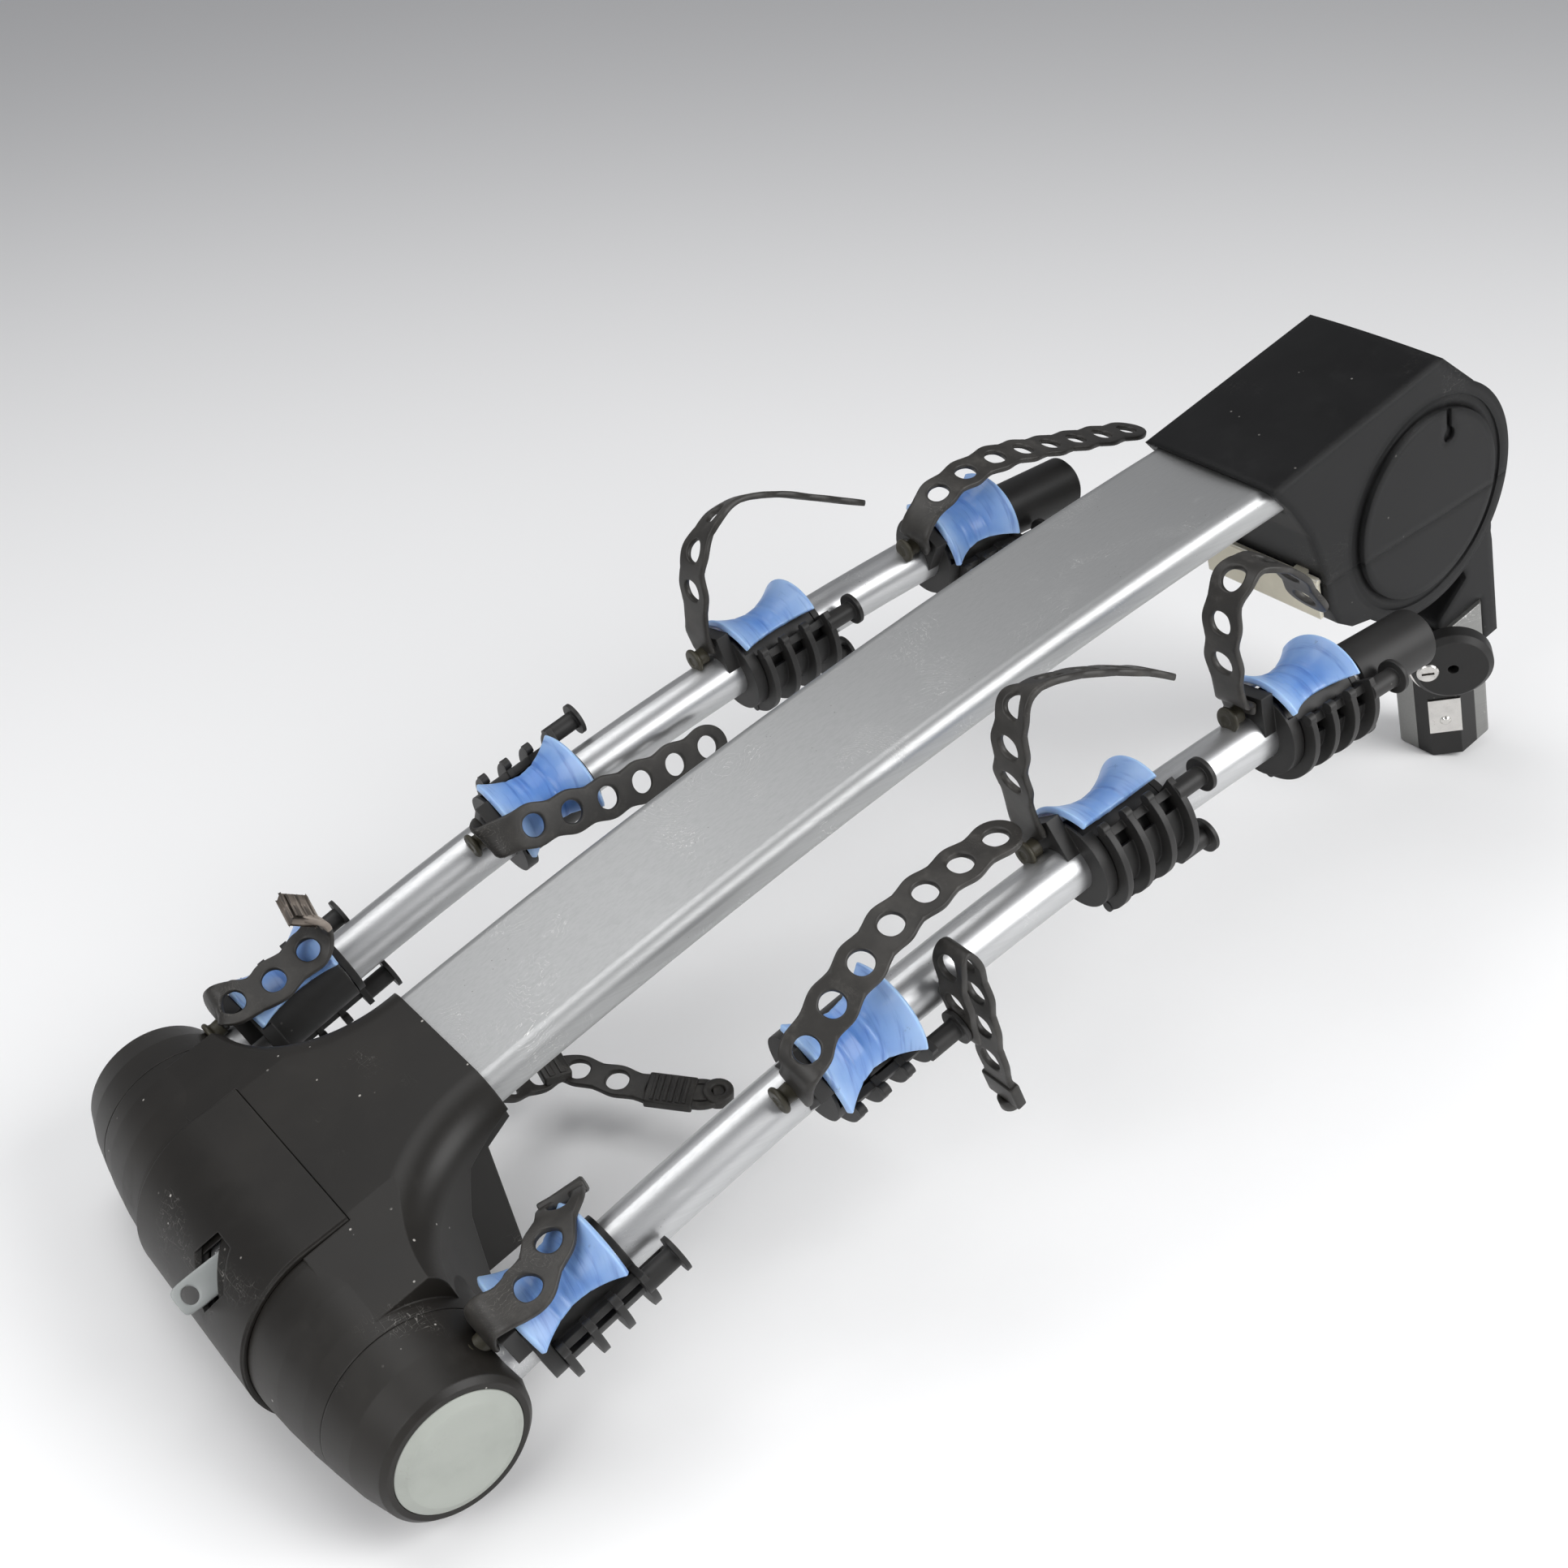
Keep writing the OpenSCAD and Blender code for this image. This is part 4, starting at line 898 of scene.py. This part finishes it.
@dataclass
class StrapTrim:
    """The thick moulded end of a strap: a block, its ribs and an eye, in millimetres from its tip."""

    name: str
    body: str
    path: StrapPath
    block_at: float
    block_half: Span
    block_lift: float = 0.0
    rib_count: int = 0
    eye_at: float | None = None
    eye_radius: float = 6.5
    eye_bore: float = 3.4
    eye_half: float = 4.0
    eye_axis: int = 0
    eye_chamfer: float = 0.8
    bore_chamfer: float = 0.6
    rib_step: float = 0.9
    rib_spread: float = 0.8
    rib_width: float = 0.86
    rib_share: float = 0.45
    finish: Finish = Finish.RUBBER

    def _spot(self, back: float) -> tuple[Vector, tuple[Vector, Vector, Vector]]:
        """The block's middle or the eye's, and the directions ahead, across and outward there."""
        point, side, out = self.path.frame_at(self.path.length - back * MM)
        return point + out * self.block_lift * MM, (side.cross(out).normalized(), side, out)

    def build(self) -> bpy.types.Object:
        """Make the end and ride it with its strap.

        Returns:
            The end's object.
        """
        mesh = bmesh.new()
        heart, axes = self._spot(self.block_at)
        along, wide, deep = (h * MM for h in self.block_half)
        Shapes.slab(mesh, heart, axes, (along, wide, deep))
        for k in range(self.rib_count):
            shift = (2 * (k + 0.5) / self.rib_count - 1) * along * self.rib_spread
            thin = along * self.rib_share / self.rib_count
            rib = (thin, wide * self.rib_width, deep + self.rib_step * MM)
            Shapes.slab(mesh, heart + axes[0] * shift, axes, rib)
        if self.eye_at is not None:
            heart, axes = self._spot(self.eye_at)
            r, q, h = self.eye_radius, self.eye_bore, self.eye_half
            e, b = self.eye_chamfer, self.bore_chamfer
            profile = [(-h, r - e), (e - h, r), (h - e, r), (h, r - e), (h, q + b), (h - b, q), (-h, q)]
            rim = [(x * MM, y * MM) for x, y in profile]
            Shapes.turned(mesh, rim, heart, axes[self.eye_axis], 24, True)
        bmesh.ops.recalc_face_normals(mesh, faces=mesh.faces)
        made = Shapes.link(self.name, mesh, material_of(self.finish))
        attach(made, self.body)
        return made


@dataclass(frozen=True)
class Seat:
    """One cradle's station and turn on its arm, and the mark that its strap's rows start from."""

    station: float
    roll: float
    mark: float


@dataclass(frozen=True)
class CradleLayout:
    """Where the cradles of both arms sit, and the sleeve that each lies on, in millimetres."""

    sleeve_half: float = 28.5
    collar: float = 2.0
    anchor: float = 9.0
    play: float = 1.15
    near: tuple[Seat, ...] = (Seat(87, 8, 88), Seat(281, 41, 286), Seat(479, -35, 487), Seat(629, -8, 640))
    far: tuple[Seat, ...] = (Seat(94, -6, 100), Seat(281, 38, 283), Seat(469, -14, 476), Seat(634, 28, 643))

    @property
    def strap_face(self) -> float:
        """Where a strap's first face lies, seen from its cradle's station."""
        return -(self.sleeve_half + self.collar + self.anchor + self.play)

    def seats(self, side: Side) -> tuple[Seat, ...]:
        """The four cradles of one arm, from the head outward."""
        return self.near if side is Side.NEAR else self.far


LAYOUT = CradleLayout()


@dataclass
class StrapSet:
    """The eight cradle straps and the two short ones."""

    strap_at: float = LAYOUT.strap_face - LadderStrap.thick / 2
    root_heights: tuple[float, float] = (20.5, 29.0)
    worn_length: float = 24.0
    near_rows: tuple[tuple[Row, ...], ...] = (
        (
            (-43, -10, 37, -0.1, 0.95, 0.2), (-33, -14, 38, -0.3, 0.9, 0.3),
            (-18, -14, 38, -0.5, 0.83, 0.25), (0, -4, 38.5, -0.6, 0.79, 0.1),
            (14, 8, 38.5, -0.6, 0.78, -0.15), (24, 20, 33, -0.62, 0.65, -0.4),
            (28, 28, 24, -0.65, 0.5, -0.5),
        ),
        (
            (-47, -27, 40, 0.05, 0.8, 0.6), (-30, -23, 49, 0.1, 0.8, 0.6), (-4, -18, 56, 0.2, 0.85, 0.5),
            (21, -13, 60, 0.25, 0.9, 0.35), (45, -9, 62, 0.25, 0.95, 0.2), (80, -6, 60, 0.2, 1, 0.1),
            (113, -4, 56, 0.15, 1, 0), (132, -3, 53, 0.1, 1, 0),
        ),
        (
            (-52, 14, 52), (-56, 8, 83), (-53, 4, 112, 0, 1, -0.1), (-46, 2, 131, 0.1, 0.95, -0.3),
            (-30, 0, 133, 0.2, 0.85, -0.5), (1, 0, 117, 0.3, 0.75, -0.5), (33, 0, 94, 0.3, 0.75, -0.5),
            (53, 0, 76, 0.3, 0.75, -0.5),
        ),
        (
            (-56.8, 0, 44), (-58, 0, 68), (-56, 0, 94), (-49, 0, 115), (-34, 0, 125), (-15, 0, 116),
            (1, 0, 97), (12, 0, 71), (18, 0, 60),
        ),
    )
    far_rows: tuple[tuple[Row, ...], ...] = (
        (
            (-49, -8, 38, 0, 0.95, 0.2), (-40, -16, 38, -0.1, 0.9, 0.4), (-26, -19, 36, -0.15, 0.88, 0.45),
            (-12, -18, 36, -0.18, 0.88, 0.45), (2, -17, 36.5, -0.18, 0.89, 0.42),
            (14, -15, 38, -0.15, 0.9, 0.4), (22, -13, 44, -0.12, 0.93, 0.35),
            (24, -12, 53, -0.1, 0.95, 0.3), (20, -11, 62, -0.1, 0.95, 0.3), (13, -10, 67, -0.1, 0.95, 0.2),
        ),
        (
            (-51.5, -28, 24, 0, 0.75, 0.66), (-34.1, -35.5, 24.1, 0.15, 0.6, 0.8),
            (-9.8, -37.9, 17.4, 0.15, 0.5, 0.85), (18.1, -38.2, 7.8, 0.15, 0.5, 0.85),
            (48.7, -36.9, -1.5, 0.15, 0.5, 0.85), (80.7, -34.8, -9.5, 0.15, 0.5, 0.85),
            (120, -32.1, -18.1, 0.15, 0.5, 0.85),
        ),
        (
            (-48.6, 4, 42), (-44, 0, 70), (-37, 0, 93, 0, 1, -0.1), (-20, 0, 109, 0.1, 0.95, -0.3),
            (2, 0, 114, 0.2, 0.85, -0.5), (31, 0, 101, 0.3, 0.75, -0.5), (58, 0, 81, 0.3, 0.75, -0.5),
            (92, 0, 54, 0.3, 0.75, -0.5),
        ),
        (
            (-54, -16, 36, 0, 1, 0.3), (-44, -16, 47, 0, 1, 0.3), (-22, -14, 54, 0, 1, 0.2),
            (6, -12, 52, 0, 1, 0.2), (36, -12, 46, 0, 1, 0.2), (80, -10, 26, 0, 1, 0.1),
            (126, -8, 4, 0, 1, 0.1), (163, -6, -14),
        ),
    )
    sway_rows: tuple[Row, ...] = (
        (55.9, -28.6, -27), (55.9, -28.6, -8), (55.9, -28.6, 12), (58.2, -28.6, 31), (63.7, -28.6, 38),
        (68.7, -28.6, 28), (69.7, -28.6, 0), (67.7, -28.6, -30), (66.7, -28.6, -62), (69.7, -28.6, -96),
    )
    tether_rows: tuple[Row, ...] = (
        (105.1, 46, -16), (124, 50, -31, 0.1, 1, 0), (150, 56, -55, 0.3, 0.9, 0),
        (172, 62, -73, 0.5, 0.8, 0), (194, 60, -81, 0.6, 0.75, 0), (208, 38, -86, 0.8, 0.5, 0),
        (222, 14, -91, 0.75, 0.6, 0), (240, -8, -97, 0.6, 0.75, 0), (256, -20, -102, 0.5, 0.85, 0),
    )
    ring_gap: float = 0.8
    ring_half: float = 2.25

    def root_row(self, r: float, roll: float, pitch: float, lead: float) -> Row:
        """A row flat against the strap's anchor block.

        Args:
            r: Height over the arm's centre line.
            roll: Turn of the cradle about the arm, in degrees.
            pitch: Slope of the arm, in radians.
            lead: Distance from the rows' mark to the cradle's station.

        Returns:
            The row, relative to the mark.
        """
        c, s = math.cos(pitch), math.sin(pitch)
        cr, sr = math.cos(math.radians(roll)), math.sin(math.radians(roll))
        x = self.strap_at * c + r * cr * s + lead
        z = r * cr * c - self.strap_at * s - lead * math.tan(pitch)
        return (x, -r * sr, z, sr * s, cr, sr * c)

    def cradle_path(self, side: Side, k: int) -> StrapPath:
        """Route of one cradle strap.

        Args:
            side: Its arm.
            k: Its cradle, from 0 at the head.

        Returns:
            The route in the shared frame.
        """
        seat = LAYOUT.seats(side)[k]
        rows = (self.near_rows if side is Side.NEAR else self.far_rows)[k]
        pitch, lead = FRAME.arm_pitch(seat.station), seat.station - seat.mark
        roots = tuple(self.root_row(r, seat.roll, pitch, lead) for r in self.root_heights)
        base = Vector((seat.mark, side.value * FRAME.arm_side, FRAME.arm_rise(seat.mark)))
        return StrapPath(roots + rows, lambda v: FRAME.lay(v + base), FRAME.turn)

    def build(self) -> list[bpy.types.Object]:
        """Make all ten straps.

        Returns:
            Their objects.
        """
        straps = []
        for side in Side:
            word = side.word
            for k in range(len(LAYOUT.seats(side))):
                faded = self.worn_length if (side, k) == (Side.FAR, 0) else 0.0
                names = (f"{word}_ladder_{k + 1}", f"{word}_strap_{k + 1}", f"{word}_arm")
                straps.append(LadderStrap(*names, self.cradle_path(side, k), faded=faded))
        ring_mid = LAYOUT.sleeve_half + self.ring_gap + self.ring_half
        station = LAYOUT.near[1].station + ring_mid
        back = Vector((ring_mid, 0, 0))
        sway = StrapPath(
            self.sway_rows,
            lambda v: FRAME.lay(FRAME.on_arm(v - back, station, -1)),
            lambda v: FRAME.turn(FRAME.on_arm(v, station, -1) - FRAME.on_arm(Vector(), station, -1)),
        )
        tether = StrapPath(self.tether_rows, FRAME.lay, FRAME.turn)
        straps += [
            LadderStrap("sway_ladder", "sway_strap", "near_cage_2", sway, waist=10.4, bulge=12.2, first=12),
            LadderStrap("tether_ladder", "tether_strap", "mast", tether, waist=9.4, bulge=11.2, first=16),
        ]
        keeper, worn = self.cradle_path(Side.NEAR, 0), self.cradle_path(Side.FAR, 0)
        ends = [
            StrapTrim("sway_end", "near_cage_2", sway, 15.0, (9.0, 12.5, 3.2), eye_at=3.0),
            StrapTrim("tether_pad", "mast", tether, 34.0, (15.0, 11.4, 3.4), rib_count=6),
            StrapTrim(
                "tether_end", "mast", tether, 15.5, (5.0, 6.0, 2.6), eye_at=5.0, eye_radius=9.5,
                eye_bore=4.4, eye_axis=2,
            ),
            StrapTrim(
                "tether_buckle", "mast", tether, 112.0, (9.0, 11.0, 4.0), block_lift=3.5, rib_count=2,
            ),
            StrapTrim(
                "keeper_end", "near_arm", keeper, 5.0, (4.5, 13.4, 3.6), block_lift=0.8, eye_at=-1.0,
                eye_radius=4.4, eye_bore=1.6, eye_half=13.0, eye_axis=1,
            ),
            StrapTrim(
                "worn_end", "far_arm", worn, 7.0, (8.0, 11.5, 2.6), block_lift=1.2, rib_count=2,
                finish=Finish.FADED,
            ),
        ]
        return [piece.build() for piece in straps + ends]


@dataclass
class Cradle:
    """One blue hourglass cradle lying on its sleeve, in millimetres."""

    name: str
    seat: Seat
    side: Side
    half_length: float = 28.3
    waist: float = 26.5
    lip: float = 36.3
    thick: float = 4.1
    waist_half_angle: float = 47.0
    lip_half_angle: float = 56.0
    grooves: tuple[float, ...] = (-11.0, -2.0, 8.0)
    groove_depth: float = 0.7
    groove_width: float = 1.0
    flare: float = 1.9
    wrap_flare: float = 1.6
    end_bow: float = 0.06
    steps_along: int = 44
    steps_round: int = 22

    def _point(self, u: float, v: float) -> Vector:
        """A point of the outer surface, beside the station.

        Args:
            u: Its place along the cradle, from -1 to 1.
            v: Its place round the arm, from -1 to 1.

        Returns:
            The point, in millimetres.
        """
        x = self.half_length * u * (1 - self.end_bow * v * v)
        radius = self.waist + (self.lip - self.waist) * abs(u) ** self.flare
        for g in self.grooves:
            radius -= self.groove_depth * math.exp(-(((x - g) / self.groove_width) ** 2))
        wrap = (self.lip_half_angle - self.waist_half_angle) * abs(u) ** self.wrap_flare
        a = math.radians((self.waist_half_angle + wrap) * v)
        return Vector((x, -radius * math.sin(a), radius * math.cos(a)))

    def build(self) -> bpy.types.Object:
        """Make the cradle and ride it on its arm.

        Returns:
            The cradle's object.
        """
        mesh = bmesh.new()
        grid, share = [], []
        for i in range(self.steps_along + 1):
            u = -1 + 2 * i / self.steps_along
            row = []
            for j in range(self.steps_round + 1):
                v = -1 + 2 * j / self.steps_round
                spot = FRAME.on_arm(self._point(u, v), self.seat.station, self.side.value, self.seat.roll)
                row.append(mesh.verts.new(FRAME.lay(spot)))
                share.append(min(1.0, max(abs(u) ** 2.2, 0.55 * abs(v) ** 6)))
            grid.append(row)
        for a, b in zip(grid, grid[1:]):
            for j in range(self.steps_round):
                mesh.faces.new((a[j], a[j + 1], b[j + 1], b[j]))
        made = Shapes.link(self.name, mesh, material_of(Finish.BLUE))
        lips = made.data.attributes.new("lip", "FLOAT", "POINT")
        lips.data.foreach_set("value", share)
        solid = made.modifiers.new("thickness", "SOLIDIFY")
        solid.thickness, solid.offset = self.thick * MM, -1.0 if self._faces_out(made) else 1.0
        soft = made.modifiers.new("lips", "BEVEL")
        soft.width, soft.segments, soft.limit_method = 1.1 * MM, 3, "ANGLE"
        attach(made, f"{self.side.word}_arm")
        return made

    def _faces_out(self, made: bpy.types.Object) -> bool:
        """Whether the faces look away from the arm."""
        face = made.data.polygons[len(made.data.polygons) // 2]
        heart = FRAME.lay(FRAME.on_arm(Vector(), self.seat.station, self.side.value))
        return face.normal.dot(face.center - heart) > 0


@dataclass
class CradleSet:
    """The eight cradles, the stubs that their straps hang on, and the caps at the ends of the barrel."""

    stub_at: float = LAYOUT.strap_face - LadderStrap.thick
    stub_height: float = 20.0
    stub_ends: tuple[float, float] = (0.8, -10.0)
    stub_edge: float = 0.5
    stub_profile: tuple[Point, ...] = (
        (0, 5.6), (5.2, 5.2), (6.6, 5.6), (7.2, 7.6), (8.2, 8.2), (9.4, 8.1), (10.2, 7.2), (10.4, 3.4),
        (9.6, 2.8),
    )
    cap_radius: float = 36.0
    cap_face: float = 30.2
    cap_from: float = 173.0
    cap_to: float = 181.0
    cap_sides: int = 96
    cap_edge: float = 0.4

    def stub(self, name: str, seat: Seat, side: Side) -> bpy.types.Object:
        """Make the stub that a strap is buttoned on.

        Args:
            name: Its name.
            seat: Its cradle's place.
            side: Its arm.

        Returns:
            The stub's object.
        """
        mesh = bmesh.new()
        spots = [Vector((self.stub_at + x, 0, self.stub_height)) for x in self.stub_ends]
        foot, head = (FRAME.lay(FRAME.on_arm(v, seat.station, side.value, seat.roll)) for v in spots)
        Shapes.turned(mesh, [(h * MM, r * MM) for h, r in self.stub_profile], foot, head - foot)
        made = Shapes.link(name, mesh, material_of(Finish.PEG))
        Shapes.soften(made, self.stub_edge * MM)
        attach(made, f"{side.word}_arm")
        return made

    def cap(self, side: Side) -> bpy.types.Object:
        """Make the pale cap on one end of the barrel.

        Args:
            side: Its end.

        Returns:
            The cap's object.
        """
        mesh = bmesh.new()
        r, f, a, b = self.cap_radius, self.cap_face, self.cap_from, self.cap_to
        rim = [(a, r), (b - 3.2, r), (b - 2.6, r - 0.3)]
        chamfer = [(b - 0.7, f + 0.9), (b - 0.2, f + 0.3), (b, f - 0.4)]
        face = [(b, f - 4), (b - 0.3, f - 6), (b - 0.35, 2.0)]
        axis = FRAME.turn(Vector((0, side.value, 0)))
        outline = [(h * MM, q * MM) for h, q in rim + chamfer + face]
        Shapes.turned(mesh, outline, FRAME.lay(Vector()), axis, self.cap_sides)
        word = side.word
        made = Shapes.link(f"{word}_barrel_cap", mesh, material_of(Finish.CAP))
        Shapes.soften(made, self.cap_edge * MM)
        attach(made, f"{word}_arm")
        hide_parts(f"{word}_end_cap")
        return made

    def build(self) -> list[bpy.types.Object]:
        """Make the cradles, stubs and caps.

        Returns:
            Their objects.
        """
        made = []
        for side in Side:
            word = side.word
            for k, seat in enumerate(LAYOUT.seats(side), 1):
                made.append(Cradle(f"{word}_cradle_{k}", seat, side).build())
                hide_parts(f"{word}_saddles")
                made.append(self.stub(f"{word}_stub_{k}", seat, side))
            made.append(self.cap(side))
        return made


# Lock loop


@dataclass
class LockLoop:
    """The pale loop that comes out through the release panel, in millimetres."""

    foot: Vector = field(default_factory=lambda: Vector((-50.0, -17.0, 38.0)))
    tilt: float = 41.0
    middle: float = -2.0
    front_reach: float = 11.6
    back_reach: float = 30.0
    half_width: float = 9.2
    half_thick: float = 3.0
    edge: float = 1.3
    hole_at: float = -5.4
    hole_half: tuple[float, float] = (4.4, 5.2)
    square: float = 0.42
    taper: float = 0.05
    count: int = 40

    def _rim(self, a: float) -> Point:
        """One point of the rounded outline, in step with the hole's.

        Args:
            a: Its angle round the loop, in radians.

        Returns:
            The point along the loop and across it.
        """
        x, y = (math.copysign(abs(q) ** self.square, q) for q in (math.cos(a), math.sin(a)))
        reach = self.back_reach if x > 0 else self.front_reach
        return self.middle + x * reach, y * self.half_width * (1.0 - self.taper * (1 - x))

    def build(self) -> bpy.types.Object:
        """Make the loop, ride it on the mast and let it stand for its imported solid.

        Returns:
            The loop's object.
        """
        mesh = bmesh.new()
        turn = Matrix.Rotation(math.radians(self.tilt), 3, "X")
        rim, mid, bore = [], [], []
        for k in range(self.count):
            a = 2 * math.pi * k / self.count
            edge = Vector((*self._rim(a), -self.half_thick))
            along, wide = self.hole_half
            hole = Vector((self.hole_at + along * math.cos(a), wide * math.sin(a), -self.half_thick))
            for ring, spot in ((rim, edge), (mid, (edge + 2 * hole) / 3), (bore, hole)):
                ring.append(mesh.verts.new(FRAME.lay(self.foot + turn @ spot)))
        for a, b in ((rim, mid), (mid, bore)):
            for k in range(self.count):
                mesh.faces.new((a[k], a[(k + 1) % self.count], b[(k + 1) % self.count], b[k]))
        bmesh.ops.recalc_face_normals(mesh, faces=mesh.faces)
        made = Shapes.link("padlock_loop", mesh, material_of(Finish.LOOP))
        up = made.data.polygons[0].normal.dot(FRAME.turn(turn @ Vector((0, 0, 1)))) > 0
        solid = made.modifiers.new("thickness", "SOLIDIFY")
        solid.thickness, solid.offset = 2 * self.half_thick * MM, 1.0 if up else -1.0
        Shapes.soften(made, self.edge * MM)
        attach(made, "mast")
        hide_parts("lock_loop")
        return made


# Studio


@dataclass
class Studio:
    """Pale floor, soft lights and the photograph's viewpoint."""

    eye: Vector = field(default_factory=lambda: Vector((-43.13, -859.63, 874.60)))
    right: Vector = field(default_factory=lambda: Vector((0.75072, -0.60835, -0.25755)))
    down: Vector = field(default_factory=lambda: Vector((-0.57217, -0.40389, -0.71379)))
    lens: float = 49.68
    floor_half: float = 9.0
    air: float = 0.28

    def camera(self) -> None:
        """Set up the viewpoint."""
        data = bpy.data.cameras.new("viewpoint")
        data.lens, data.sensor_width, data.clip_end = self.lens, 36.0, 60.0
        made = bpy.data.objects.new("viewpoint", data)
        bpy.context.scene.collection.objects.link(made)
        right, up = FRAME.turn(self.right), -FRAME.turn(self.down)
        back = right.cross(up)
        turn = Matrix((right, up, back)).transposed().to_4x4()
        made.matrix_world = Matrix.Translation(FRAME.lay(self.eye)) @ turn
        bpy.context.scene.camera = made

    def floor(self) -> None:
        """Lay the pale floor."""
        mesh = bmesh.new()
        bmesh.ops.create_grid(mesh, x_segments=2, y_segments=2, size=self.floor_half)
        p = Paint("studio_floor")
        tone = p.blend((0.90, 0.90, 0.90), (0.93, 0.93, 0.93), p.noise(0.8, 1.0))
        paint = p.surface(Base_Color=tone, Roughness=0.75, Specular_IOR_Level=0.2)
        made = Shapes.link("studio_floor", mesh, paint)
        made.location.z = -0.0005

    def light(self, name: str, at: Span, size: float, power: float, aim: Span) -> None:
        """Hang one soft box.

        Args:
            name: Its name.
            at: Where it hangs, in metres.
            size: Its side.
            power: Its watts.
            aim: What it faces.
        """
        data = bpy.data.lights.new(name, "AREA")
        data.shape, data.size, data.energy = "SQUARE", size, power
        made = bpy.data.objects.new(name, data)
        bpy.context.scene.collection.objects.link(made)
        made.location = at
        made.rotation_euler = (Vector(aim) - Vector(at)).to_track_quat("-Z", "Y").to_euler()

    def build(self) -> None:
        """Make the camera, the floor, the lights and the surroundings."""
        self.camera()
        self.floor()
        self.light("overhead_box", (-0.5, 0.7, 2.1), 1.5, 17.0, (0.0, 0.0, 0.1))
        self.light("front_box", (1.15, -2.0, 1.6), 1.9, 66.0, (0.6, -0.6, 0.0))
        self.light("left_box", (-1.9, -0.5, 1.2), 1.2, 20.0, (-0.3, -0.2, 0.0))
        world = bpy.data.worlds.new("studio_air")
        world.use_nodes = True
        world.node_tree.nodes["Background"].inputs[0].default_value = (0.95, 0.96, 1.0, 1.0)
        world.node_tree.nodes["Background"].inputs[1].default_value = self.air
        bpy.context.scene.world = world
        bpy.context.scene.view_settings.view_transform = "Standard"


def main() -> None:
    """Dress the rack and set the studio round it."""
    logging.basicConfig(level=logging.INFO, format="%(message)s")
    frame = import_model()
    Studio().build()
    LOG.info("dressed %d carried pieces", CarriedPieces().dress(frame["nodes"]))
    for made in StrapSet().build() + CradleSet().build() + [LockLoop().build()]:
        LOG.info("placed %s", made.name)


if __name__ == "__main__":
    main()
